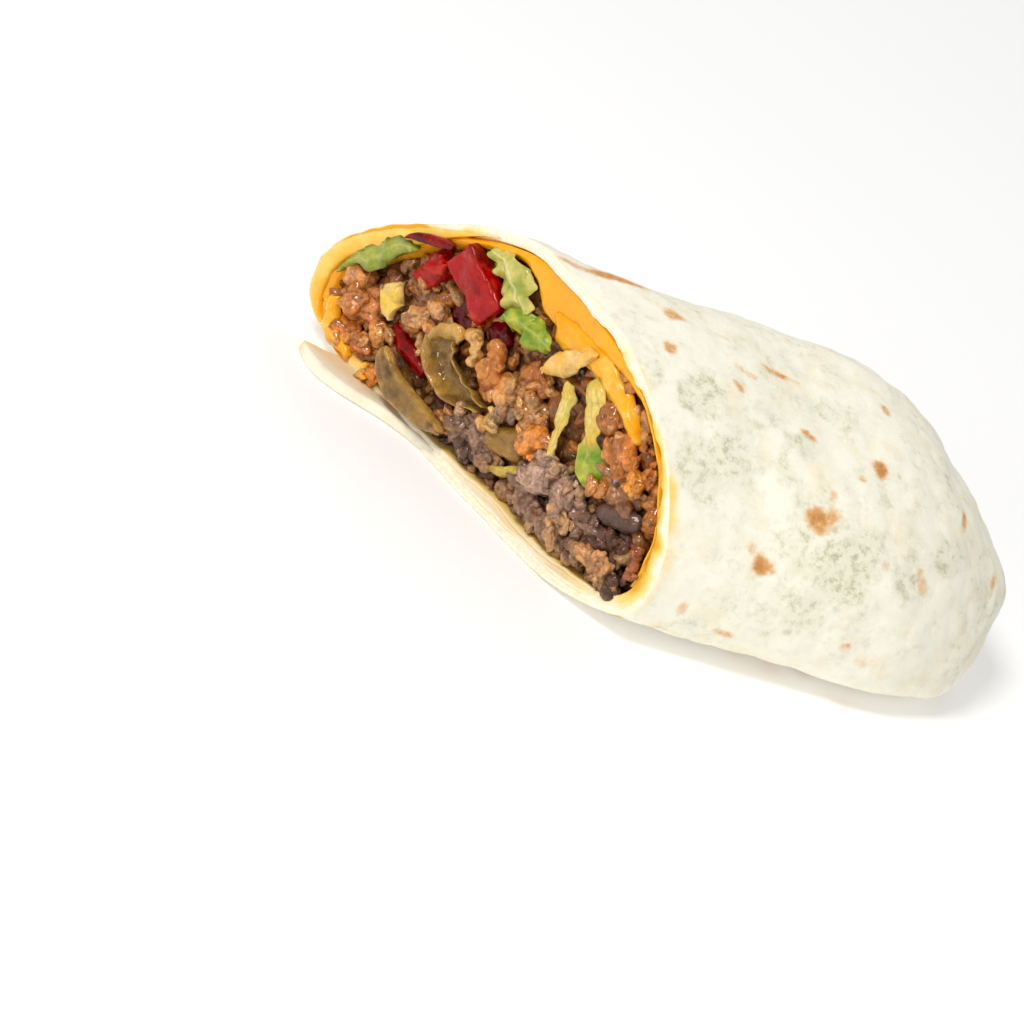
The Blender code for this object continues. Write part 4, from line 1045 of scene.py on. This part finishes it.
def add_core(heap, upper, centre, deep, tints, sauce):
    """The mass of beef behind the loose pieces, above or below the boundary of the two layers, darkened with
    painted shade.
    """
    angles = round_angles(180)
    stations = np.linspace(0.0, 0.85, 9)
    insets = wrap_thickness(angles) + cheese_thickness(angles) + 0.7
    rings = wrap_points(angles, stations, insets[:, None], GAP, FACE_RECESS, WRAP + 6.0)
    boundary = layer_height(-(rings[..., 1] - FAR_SHIFT) / math.cos(BIAS_ANGLE))
    if upper:
        rings[..., 2] = np.maximum(rings[..., 2], boundary + GAP)
    else:
        rings[..., 2] = np.minimum(rings[..., 2], np.maximum(boundary - GAP, 4.0))
    shares = steps(44)[None, 1:]
    cap = mixed(rings[:, :1], on_face(centre), shares)
    lump, shade = lumps_of(cap, 2.8, 111)
    out = smooth_step(shares / 0.06) * (1.9 * (lump - 0.5) + 0.6 * rough(cap, 1.2, 112))
    cap = moved_out(cap, out)
    flat = np.concatenate([rings[:, ::-1], cap], axis=1)
    rows, columns = flat.shape[:2]
    pick = np.clip((shade * len(tints)).astype(int), 0, len(tints) - 1)
    # Painted shade: the recessed mass keeps a tenth to four tenths of its tint, least in the creases between
    # its lumps
    tint = np.asarray(tints)[pick] * (0.1 + 0.3 * smooth_step(lump * 1.6))[..., None]
    tint = mixed(tint, SAUCE, 0.35 * sauce * patches(cap, 4.0, 113, 0.0, 2.0))
    # Painted shade: the rings that run back into the roll take the dark shade colour
    back = np.broadcast_to(np.asarray(deep), (rows, len(stations), 3))
    points = np.concatenate([flat.reshape(-1, 3), rings[:, -1].mean(axis=0)[None]])
    fan = np.array([[row * columns, (row + 1) % rows * columns, rows * columns] for row in range(rows)])
    all_tints = np.concatenate([np.concatenate([back, tint], axis=1).reshape(-1, 3), [deep]])
    heap.add(points, [grid_quads(rows, columns), fan], tint=all_tints)


def face_outline():
    """(across, up) of the filling's edge on the cut plane."""
    angles = round_angles(120)
    lining = cheese_thickness(angles) * (1.0 - 0.5 * smooth_step(-np.cos(angles) * 3.0))
    insets = wrap_thickness(angles) + lining + 0.3
    lift = GAP - BASE_THINNING * base_layers(section_side(angles)[0])
    return from_face(wrap_points(angles, [0.0], insets[:, None], lift[:, None])[:, 0])[:, :2]


def is_inside(outline, across, up, margin):
    """Whether a place on the cut face is inside the outline and further than the margin from it."""
    ahead = np.roll(outline, -1, axis=0)
    crosses = (outline[:, 1] > up) != (ahead[:, 1] > up)
    rise = np.where(crosses, ahead[:, 1] - outline[:, 1], 1.0)
    at = outline[:, 0] + (up - outline[:, 1]) / rise * (ahead[:, 0] - outline[:, 0])
    inside = np.count_nonzero(crosses & (across < at)) % 2 == 1
    return inside and np.hypot(outline[:, 0] - across, outline[:, 1] - up).min() > margin


def add_scatter(heap, upper, seed, tints, chunks, taken, sauce, sizes):
    """Small crumbs between the large pieces, none where a vegetable covers them, and set back beside one."""
    rng = random.Random(seed)
    outline = face_outline()
    placed = [(place[0], place[1], (radii[0] + radii[1]) / 2) for place, radii, *_ in chunks]
    for _ in range(SCATTER_TRIES):
        across = rng.uniform(-50.0, 50.0)
        up = rng.uniform(WRAP_BASE_FAR, 46.0)
        radius = rng.triangular(*sizes)
        height = layer_height(across)
        belongs = up > height if upper else up < height + 0.3
        if not belongs or not is_inside(outline, across, up, radius * 0.55):
            continue
        if any(math.hypot(across - a, up - u) < (radius + r) * 0.66 for a, u, r in placed):
            continue
        cover = np.hypot(taken[:, 0] - across, taken[:, 1] - up).min() / radius
        if cover < 0.4:
            continue
        out = -3.6 if cover < 0.9 else rng.uniform(-3.6, -1.4)
        radii = [radius * rng.uniform(*limits) for limits in ((1.0, 1.4), (0.65, 1.0), (0.7, 1.0))]
        placed.append((across, up, radius))
        tint = np.asarray(rng.choice(tints)) * rng.uniform(0.75, 1.2)
        level = 4 if radius > 2.6 else 3
        add_lump(heap, rng, (across, up, out), radii, rng.uniform(0, 360), tint, 0.6, sauce, level)


def beef(taken):
    """Sauced minced beef over plain minced beef."""
    rng = random.Random(3)
    layers = [
        ("sauced", True, (0.0, 26.0), SAUCED_IN_SHADE, SAUCED_TINTS, SAUCED_CHUNKS, 1.0, 1.0, 7, (0.8, 3.2, 1.5)),
        ("plain", False, (22.0, 8.0), PLAIN_IN_SHADE, PLAIN_TINTS, PLAIN_CHUNKS, 0.1, 0.55, 11, (0.6, 2.4, 1.2)),
    ]
    for name, upper, middle, deep, tints, chunks, sauce, wet, seed, sizes in layers:
        heap = Mesh()
        add_core(heap, upper, (*middle, -FACE_RECESS), deep, tints, sauce)
        for place, radii, turn, tint, craggy in chunks:
            add_chunk(heap, rng, place, radii, turn, colour(*tint), craggy, sauce)
        add_scatter(heap, upper, seed, tints, chunks, taken, sauce, sizes)
        heap.build(f"beef_{name}_mince", beef_material(f"beef_{name}", wet), f"beef_{name}")


# Cut vegetables


def add_tube(piece, route, width, depth, tint_of, blunt=0.45, wobble=0.12, seed=1, count=70, sides=28):
    """A strip along a route on the cut face, with rounded ends and an uneven skin."""
    path = on_face(smooth_path(route, count))
    ahead = np.gradient(path, axis=0)
    ahead /= np.linalg.norm(ahead, axis=1, keepdims=True)
    across = np.cross(ahead, FACE_OUT)
    across /= np.linalg.norm(across, axis=1, keepdims=True)
    deep = np.cross(across, ahead)
    place = steps(count)
    size = np.clip(np.sin(math.pi * place), 0.0, 1.0) ** 0.5
    size = np.where((place == 0) | (place == 1), 0.02, blunt + (1.0 - blunt) * size)
    size[[1, -2]] *= 0.75
    turn = round_angles(sides)[None, :, None]
    ring = np.cos(turn) * across[:, None] * width / 2 + np.sin(turn) * deep[:, None] * depth / 2
    ring = ring * size[:, None, None]
    points = path[:, None] + ring
    points = points + ring * (wobble * 3.0 * rough(points, min(width, 3.0), seed))[..., None]
    tint = tint_of(points).transpose(1, 0, 2)
    piece.add(points.transpose(1, 0, 2), grid_quads(sides, count), tint=tint)


def add_slab(piece, front, back, tint):
    """Two skins that meet along their edges."""
    count, rows = front.shape[:2]
    faces = [grid_quads(count, rows, closed=False), grid_quads(count, rows, count * rows, False, True)]
    piece.add(np.stack([front, back]), faces, tint=np.stack([tint, tint]))


def add_plate(piece, one_edge, other_edge, out, tint_of, thickness, relief, ragged=0.0, count=80, rows=28):
    """A plate between two edges on the cut face.

    relief(points, u, v) moves it out and tint_of(points, u, v) colours it, with u along the edges and v
    from the one to the other.
    """
    one = smooth_path([(*p, out) for p in one_edge], count)
    other = smooth_path([(*p, out) for p in other_edge], count)
    u = steps(count)[:, None]
    v = steps(rows)[None, :]
    flat = mixed(one[:, None], other[:, None], v)
    shift = np.zeros_like(flat)
    shift[..., 0] = noise(flat, 2.0, 191) + 0.5 * noise(flat, 0.8, 193)
    shift[..., 1] = noise(flat, 2.0, 192)
    flat = flat + ragged * shift
    half = thickness / 2 * np.minimum(dome(u, 14), dome(v, 10))
    lift = relief(flat, u, v)
    skins = []
    for sign in (1.0, -1.0):
        skin = flat.copy()
        skin[..., 2] += lift + sign * half
        skins.append(on_face(skin))
    add_slab(piece, *skins, tint_of(skins[0], u + 0 * v, v + 0 * u))


def add_block(piece, centre, size, turn, tilt, tint_of, seed=1, side=26, hard=5.0, wobble=0.5):
    """A cut cube of vegetable with soft edges and uneven faces."""
    line = np.linspace(-1.0, 1.0, side)
    a, b = np.meshgrid(line, line, indexing="ij")
    one = np.ones_like(a)
    spin = np.array(rotation("Z", turn) @ (rotation("Y", tilt[1]) @ rotation("X", tilt[0])))
    for axis, sign in itertools.product(range(3), (1.0, -1.0)):
        sheet = np.stack(np.roll([one * sign, a, b], axis, axis=0), axis=-1)
        norm = (np.abs(sheet) ** hard).sum(axis=-1, keepdims=True) ** (1.0 / hard)
        ball = sheet / norm
        local = ball * np.array(size) / 2 * 1.04
        own = local + np.array([seed * 17.0, seed * 5.0, 3.0])
        bend = ball * (wobble * rough(own, 4.0, seed) + 0.2 * wobble * rough(own, 1.2, seed + 3))[..., None]
        points = on_face((local + bend) @ spin.T + np.array(centre))
        quads = grid_quads(side, side, closed=False, flip=sign * (-1) ** axis < 0)
        piece.add(points, quads, tint=tint_of(own, ball))


def plain_tint(first, second, size=2.0, seed=151):
    return lambda points, *_: mixed(colour(*first), colour(*second), patches(points, size, seed))


def tomato_tint(points, ball):
    """Red flesh with paler corners and flecks."""
    base = mixed(RED_DEEP, RED, patches(points, 3.0, 121, 0.8, 0.7))
    corner = smooth_step((np.sort(np.abs(ball), axis=-1)[..., 1] - 0.82) / 0.18)
    fleck = smooth_step((noise(points, 1.2, 122) - 0.5) / 0.3)
    pale = 0.3 * corner * (0.4 + noise(points, 3.0, 124)) + 0.35 * fleck
    return mixed(base, RED_PALE, np.clip(pale, 0.0, 0.6))


def dark_tomato_tint(points, *_):
    return mixed(RED_DEEP, RED, 0.7 * patches(points, 2.4, 123, 0.4, 1.0))


def tomato_fold_tint(points, u, v):
    return mixed(RED, RED_PALE, 0.5 * smooth_step(v * 1.6 - 0.6))


def jalapeno_tint(points, u, v):
    """Olive flesh, pale along the cut rims and in patches."""
    base = mixed(OLIVE_DARK, OLIVE, patches(points, 3.2, 131, 0.6))
    rim = hump(v, 1.0, 0.16) + hump(v, 0.0, 0.14)
    patch = patches(points, 2.6, 132, 0.0, 2.0)
    return mixed(base, OLIVE_PALE, np.clip(0.7 * rim * (0.6 + 0.5 * patch) + 0.3 * patch, 0.0, 1.0))


def curl_edge_tint(points, u, v):
    return mixed(OLIVE, OLIVE_PALE, smooth_step(1.0 - v + 0.3 * noise(points, 2.0, 133)))


def rib(points, u, v):
    """1 along a leaf's wandering rib."""
    return hump(v - 0.45 - 0.15 * np.sin(u * 5.0), 0.1 * noise(points, 4.0, 146), 0.06)


def leaf_tint(points, u, v):
    """Paler along the rib, darker in patches and at the frilled edge."""
    pale = 0.5 * patches(points, 3.4, 141, 0.45) + 0.3 * rib(points, u, v)
    base = mixed(LEAF, LEAF_PALE, np.clip(pale, 0.0, 1.0))
    edge = smooth_step((np.abs(2 * v - 1) - 0.5) / 0.5) * (0.6 + 0.8 * noise(points, 2.4, 142))
    return mixed(base, LEAF_DARK, np.clip(edge, 0.0, 0.9))


def mottled_leaf_tint(points, u, v):
    base = mixed(LEAF_PALE, LEAF, 0.75 * patches(points, 2.6, 147, 0.35, 1.2))
    return mixed(base, LEAF_RIB, 0.7 * rib(points, u, v))


def pale_leaf_tint(points, u, v):
    """Yellowed leaf with a little green and thin veins."""
    base = mixed(LEAF_YELLOW, LEAF_STRAW, patches(points, 3.0, 143, 0.5, 1.0))
    base = mixed(base, LEAF, 0.45 * patches(points, 5.0, 144, -0.2, 2.0))
    vein = smooth_step(np.sin(v * 20.0 + 2.5 * noise(points, 3.0, 149)) - 0.2)
    return mixed(base, LEAF_VEIN, 0.4 * vein)


def bright_leaf_tint(points, u, v):
    base = mixed(LEAF_BRIGHT, LEAF_LIME, patches(points, 2.4, 145, 0.4, 1.0))
    return mixed(base, LEAF_PALE, 0.5 * rib(points, u, v))


def long_leaf_tint(points, u, v):
    """A pale shred that ends in a green curl."""
    low = smooth_step((u - 0.5 + 0.1 * noise(points, 4.0, 148)) / 0.25)
    return mixed(pale_leaf_tint(points, u, v), bright_leaf_tint(points, u, v), low)


def ruffle(depth, count, seed, bow=0.0):
    """Relief of a leaf: frilled at its edges and flatter along its rib."""

    def relief(flat, u, v):
        edge = np.abs(2 * v - 1) ** 1.5
        finer = 0.6 * np.sin(u * count * 2.3 - v * 4.0)
        wave = np.sin(u * count + v * 2.6 + 1.5 * noise(flat, 5.0, seed)) + finer
        bend = bow * (1.0 - (2 * v - 1) ** 2)
        return depth * wave * (0.2 + 0.8 * edge) + bend + 0.45 * rough(flat, 2.4, seed)

    return relief


def bowl(bow, rim, seed):
    """Relief of a pepper slice: hollow between raised rims."""

    def relief(flat, u, v):
        edge = hump(v, 0.0, 0.14) + hump(v, 1.0, 0.14)
        return bow * (1.0 - (2 * v - 1) ** 2) + rim * edge + 0.4 * rough(flat, 3.0, seed)

    return relief


def single(name, material, node, builder, *arguments, **options):
    """A piece of one plate, block or strip."""
    piece = Mesh()
    builder(piece, *arguments, **options)
    piece.build(name, material, node)


def tomatoes():
    skin = wet_material(
        "tomato", 0.5, 1.2, (1.0, 0.1, 0.05), relief=0.2, rough_low=0.2, rough_high=0.4, weight=0.12,
    )
    strip = Mesh()
    add_plate(
        strip, [(-33.4, 31.5), (-31.1, 33.9), (-27.4, 35.9), (-23.0, 37.0), (-21.8, 37.0)],
        [(-33.2, 31.2), (-29.5, 32.8), (-25.8, 34.2), (-22.8, 35.6), (-21.6, 36.4)],
        1.8, dark_tomato_tint, 1.5, ruffle(0.25, 7.0, 176, 0.4), 0.15,
    )
    strip.build("tomato_strip_top", skin, "tomato_1")
    folded = Mesh()
    add_block(
        folded, (-26.6, 27.8, -2.0), (10.2, 6.2, 4.8), 58, (14, -10), tomato_tint,
        seed=3, hard=3.2, wobble=1.5,
    )
    add_plate(
        folded, [(-26.6, 29.6), (-25.6, 31.6), (-23.6, 33.2), (-21.8, 33.2)],
        [(-26.2, 28.8), (-24.2, 28.6), (-22.6, 30.2), (-21.6, 32.6)],
        0.9, tomato_fold_tint, 0.9, ruffle(0.5, 5.0, 177, 0.8), 0.35,
    )
    folded.build("tomato_chunk_left", skin, "tomato_2")
    single(
        "tomato_chunk_large", skin, "tomato_3", add_block,
        (-14.6, 33.6, -0.2), (13.2, 7.8, 3.6), -27, (6, 8), tomato_tint, seed=4, hard=8.0, wobble=0.8,
    )
    single(
        "tomato_chunk_low", skin, "tomato_4", add_block,
        (-14.4, 25.9, -4.2), (9.4, 6.0, 4.6), -4, (-8, 4), dark_tomato_tint, seed=5, hard=3.0, wobble=1.3,
    )
    single(
        "tomato_chunk_right", skin, "tomato_5", add_block,
        (-6.6, 29.0, -3.4), (6.8, 5.0, 4.0), -50, (6, -8), dark_tomato_tint, seed=6, hard=3.4, wobble=1.1,
    )
    single(
        "tomato_strip_low", skin, "tomato_6", add_tube,
        [(-30.0, 13.4, -2.6), (-24.2, 12.2, -2.2), (-18.0, 10.4, -2.8)], 4.2, 3.4, dark_tomato_tint,
        seed=7, blunt=0.7,
    )


def jalapenos():
    wet = wet_material("jalapeno", 1.0, 1.4, (1.0, 0.8, 0.25), relief=0.42)
    single(
        "jalapeno_crescent", wet, "jalapeno_1", add_plate,
        [(-26.8, 11.0), (-25.8, 7.2), (-20.7, 4.0), (-15.0, 3.9), (-8.5, 4.7), (-4.8, 6.0)],
        [(-26.0, 12.0), (-21.2, 10.2), (-15.5, 9.3), (-9.9, 8.6), (-6.4, 8.0), (-4.6, 7.0)],
        1.6, jalapeno_tint, 2.2, bowl(0.9, 0.5, 161), 0.35,
    )
    curl = Mesh()
    add_plate(
        curl, [(-12.6, 22.6), (-12.0, 20.4), (-10.4, 18.4), (-6.0, 17.2), (-0.2, 16.2)],
        [(-15.8, 22.8), (-19.2, 18.8), (-16.8, 13.8), (-9.6, 11.9), (-0.6, 14.2)],
        0.0, jalapeno_tint, 1.3, bowl(-2.4, 1.4, 162), 0.5,
    )
    add_plate(
        curl, [(-19.4, 19.6), (-17.0, 23.4), (-13.2, 25.4), (-10.4, 24.0)],
        [(-17.6, 18.6), (-15.4, 20.6), (-13.2, 22.0), (-11.0, 22.2)],
        0.9, curl_edge_tint, 1.1, ruffle(0.3, 5.0, 178, 0.7), 0.5,
    )
    curl.build("jalapeno_curl", wet, "jalapeno_2")
    single(
        "jalapeno_bit", wet, "jalapeno_3", add_block,
        (6.8, 13.4, -1.6), (7.8, 5.4, 3.6), 20, (10, 14),
        lambda points, ball: jalapeno_tint(points, 0.5, 0.5 + 0 * ball[..., 0]), seed=8, wobble=0.9,
    )
    single(
        "jalapeno_strip", wet, "jalapeno_4", add_plate,
        [(6.8, 7.8), (9.6, 9.6), (12.2, 11.4), (14.8, 12.4)],
        [(7.2, 6.8), (10.6, 7.6), (13.6, 9.8), (15.2, 11.8)],
        -0.6, plain_tint((176, 142, 48), (216, 184, 78)), 1.4, ruffle(0.3, 6.0, 163, 0.5), 0.3,
    )


def lettuce():
    green = wet_material("lettuce", 0.7, 1.2, (0.7, 1.0, 0.25), relief=0.14, rough_low=0.26, rough_high=0.42)
    single(
        "lettuce_left", green, "lettuce_1", add_plate,
        [(-46.0, 15.8), (-44.0, 20.4), (-41.0, 25.0), (-37.6, 29.0), (-33.6, 31.0), (-29.6, 31.6)],
        [(-45.4, 15.2), (-43.0, 18.7), (-38.4, 20.4), (-36.0, 22.8), (-33.6, 27.3), (-29.2, 31.2)],
        0.9, leaf_tint, 0.5, ruffle(0.7, 11.0, 171, 0.4), 0.6,
    )
    single(
        "lettuce_top", green, "lettuce_2", add_plate,
        [(-14.9, 41.0), (-12.1, 38.4), (-8.4, 36.0), (-5.6, 34.4), (-2.2, 34.4)],
        [(-14.6, 42.2), (-10.4, 43.2), (-5.6, 43.0), (-1.0, 41.6), (0.8, 37.0)],
        0.5, mottled_leaf_tint, 0.5, ruffle(1.0, 13.0, 172, 0.5), 0.9,
    )
    single(
        "lettuce_fold", green, "lettuce_3", add_plate,
        [(-5.6, 34.4), (-1.4, 36.8), (3.0, 37.4), (6.6, 37.0), (9.0, 35.0)],
        [(-5.2, 32.4), (-2.7, 32.0), (0.8, 32.0), (4.6, 31.4), (8.2, 33.8)],
        0.8, bright_leaf_tint, 0.5, ruffle(0.7, 9.0, 173, 0.7), 0.6,
    )
    single(
        "lettuce_long", green, "lettuce_4", add_plate,
        [(19.7, 37.0), (19.4, 33.7), (20.9, 30.5), (22.3, 26.9), (24.0, 23.4), (26.0, 20.1), (29.0, 19.0)],
        [(20.6, 37.4), (22.8, 36.0), (25.2, 32.8), (26.2, 29.6), (28.2, 27.2), (31.2, 25.0), (30.2, 19.6)],
        0.6, long_leaf_tint, 0.5, ruffle(0.6, 9.0, 174, 0.3), 0.7,
    )
    single(
        "lettuce_shred", green, "lettuce_5", add_plate,
        [(14.7, 32.4), (15.2, 27.6), (16.6, 22.8), (18.8, 17.2)],
        [(16.7, 32.6), (18.2, 28.4), (19.2, 23.6), (19.8, 17.6)],
        0.5, pale_leaf_tint, 0.4, ruffle(0.4, 7.0, 175, 0.2), 0.5,
    )


def other_slivers():
    """Onion, yellow pepper and red onion."""
    clear = wet_material("onion", 0.7, 2.0, (1.0, 0.7, 0.3), relief=0.12, weight=0.5)
    single(
        "onion_sliver", clear, "onion_1", add_plate,
        [(7.6, 30.8), (10.2, 35.0), (12.6, 38.0), (15.2, 40.0), (17.6, 40.2)],
        [(8.2, 30.4), (12.7, 31.1), (15.0, 34.4), (16.6, 36.9), (18.0, 39.4)],
        0.3, plain_tint((244, 208, 142), (250, 182, 78), 3.0), 0.7, ruffle(0.7, 8.0, 181, 0.9), 0.7,
    )
    yellow = wet_material("yellow_pepper", 0.5, 1.8, (1.0, 0.85, 0.25), relief=0.12)
    single(
        "yellow_pepper_bit", yellow, "yellow_pepper_1", add_plate,
        [(-32.4, 22.2), (-34.2, 18.8), (-33.4, 16.8), (-30.0, 15.2)],
        [(-31.2, 22.8), (-29.4, 21.6), (-28.6, 19.4), (-29.4, 15.4)],
        0.2, plain_tint((238, 196, 60), (240, 204, 132), 2.2), 1.6, ruffle(0.6, 6.0, 182, 0.2), 0.9,
    )
    purple = wet_material("red_onion", 0.6, 1.0, (1.0, 0.3, 0.4), relief=0.1)
    single(
        "red_onion_sliver", purple, "red_onion_1", add_tube,
        [(-13.6, 10.1, -2.0), (-9.8, 10.2, -1.8), (-6.4, 10.6, -2.2)],
        2.4, 2.2, plain_tint((96, 30, 60), (48, 14, 28)), seed=11,
    )


def fried_onions():
    """Crisp curls of fried onion, each a bent strip with brittle crumbs along it."""
    crisp = wet_material("crispy_onion", 0.7, 1.2, (1.0, 0.5, 0.2), relief=0.3, rough_low=0.3, rough_high=0.5)
    strips = [
        (
            [(-21.8, 17.4, -1.2), (-20.6, 15.6, -0.6), (-19.6, 14.0, -1.2)],
            1.9, 2.2, (214, 164, 104), (186, 128, 70),
        ),
        (
            [(-11.2, 24.6, -0.6), (-8.4, 25.2, 0.4), (-7.0, 23.0, 0.6), (-7.8, 20.2, -0.4)],
            2.6, 2.4, (232, 178, 104), (198, 134, 62),
        ),
        (
            [(-5.8, 26.0, -1.0), (-2.4, 25.6, 0.4), (-1.2, 22.4, 0.6), (-2.8, 19.0, -0.4)],
            3.8, 3.0, (214, 136, 66), (168, 86, 34),
        ),
        (
            [(44.4, 17.2, -1.2), (45.4, 14.0, -0.4), (45.8, 10.8, -1.2)],
            2.4, 2.4, (190, 112, 66), (132, 70, 38),
        ),
    ]
    rng = random.Random(9)
    for number, (route, width, depth, first, second) in enumerate(strips, 1):
        curl = Mesh()
        tint = plain_tint(first, second, 1.4)
        add_tube(curl, route, width, depth, tint, blunt=0.7, wobble=0.35, seed=20 + number)
        for place in smooth_path(route, 4)[1:-1]:
            shift = [rng.uniform(-0.5, 0.5) * width, rng.uniform(-0.3, 0.3) * width, depth * 0.25]
            size = width * rng.uniform(0.22, 0.38)
            radii = (size * 1.4, size, size)
            turn = rng.uniform(0, 360)
            add_lump(curl, rng, place + np.array(shift), radii, turn, colour(*first), 0.5, 0.3, 4)
        curl.build(f"crispy_onion_strip_{number}", crisp, f"crispy_onion_{number}")


def bean():
    """A dark bean at the near side, bowed a little out of the cut."""
    dark = wet_material("bean", 0.45, 0.8, (1.0, 0.5, 0.3), relief=0.05, rough_low=0.2, rough_high=0.3)
    across, up = BEAN_REACH * math.cos(BEAN_TURN), BEAN_REACH * math.sin(BEAN_TURN)
    steps = (-1.0, -0.5, 0.0, 0.5, 1.0)
    route = [(37.8 + across * s, 18.6 + up * s, -1.4 + 0.8 * (1 - s * s)) for s in steps]
    tint = plain_tint((112, 84, 72), (82, 60, 52))
    single("bean_whole", dark, "bean_1", add_tube, route, 4.4, 4.0, tint, blunt=0.4, seed=30)


def covered_places():
    """(across, up) of the vegetables' solids, which the crumbs keep clear of."""
    places = []
    for name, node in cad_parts.items():
        if name.split("_")[0] not in ("tortilla", "cheese", "beef"):
            places += [tuple(v.co / MM) for v in node.data.vertices]
            places += [tuple(face.center / MM) for face in node.data.polygons]
    return from_face(np.array(places))[:, :2]


# Floor, light and camera


def floor():
    """A plain pale floor, a touch below the food's flat base."""
    bpy.ops.mesh.primitive_plane_add(size=6.0, location=(0.0, 0.0, -0.0002))
    plane = bpy.context.object
    plane.name = "floor"
    s = Shader("floor", Roughness=0.9, Emission_Strength=0.16)
    plane.data.materials.append(s.finish((0.95, 0.95, 0.95)))


def area_light(name, place, size, power, tint=(1.0, 1.0, 1.0)):
    """A round soft light at a place in metres, turned to the food."""
    data = bpy.data.lights.new(name, "AREA")
    data.shape = "DISK"
    data.size = size
    data.energy = power
    data.color = tint
    item = place_object(name, data)
    item.location = place
    item.rotation_euler = (Vector((0.0, 0.0, 0.02)) - Vector(place)).to_track_quat("-Z", "Y").to_euler()


def lights():
    world = bpy.data.worlds.new("studio")
    bpy.context.scene.world = world
    world.use_nodes = True
    sky = world.node_tree.nodes["Background"]
    sky.inputs["Color"].default_value = (1.0, 1.0, 1.0, 1.0)
    sky.inputs["Strength"].default_value = 0.46
    area_light("key", (-0.6, -0.35, 0.95), 0.35, 6.4, (1.0, 0.985, 0.96))
    area_light("fill", (-0.9, -0.85, 0.4), 0.4, 2.6)
    area_light("side", (0.7, -0.9, 0.6), 0.9, 0.8)
    area_light("back", (0.3, 0.9, 0.8), 0.6, 1.6)


def camera():
    """The photograph's viewing angle: from the cut's near side, above, and rolled."""
    data = bpy.data.cameras.new("camera")
    data.sensor_width = 36.0
    data.lens = CAMERA_LENS
    data.clip_start = 0.01
    item = place_object("camera", data)
    azimuth, elevation = CAMERA_AZIMUTH, CAMERA_ELEVATION
    level = math.cos(elevation)
    back = Vector((math.sin(azimuth) * level, -math.cos(azimuth) * level, math.sin(elevation)))
    level_right = Vector((math.cos(azimuth), math.sin(azimuth), 0.0))
    level_up = back.cross(level_right)
    right = level_right * math.cos(CAMERA_ROLL) + level_up * math.sin(CAMERA_ROLL)
    up = back.cross(right)
    turn = Matrix((right, up, back)).transposed()
    item.matrix_world = Matrix.Translation(Vector(CAMERA_PLACE) * MM) @ turn.to_4x4()
    bpy.context.scene.camera = item


def main():
    bpy.context.scene.view_settings.view_transform = "Standard"
    camera()
    lights()
    floor()
    tortilla()
    cheese()
    beef(covered_places())
    tomatoes()
    jalapenos()
    lettuce()
    other_slivers()
    fried_onions()
    bean()


main()
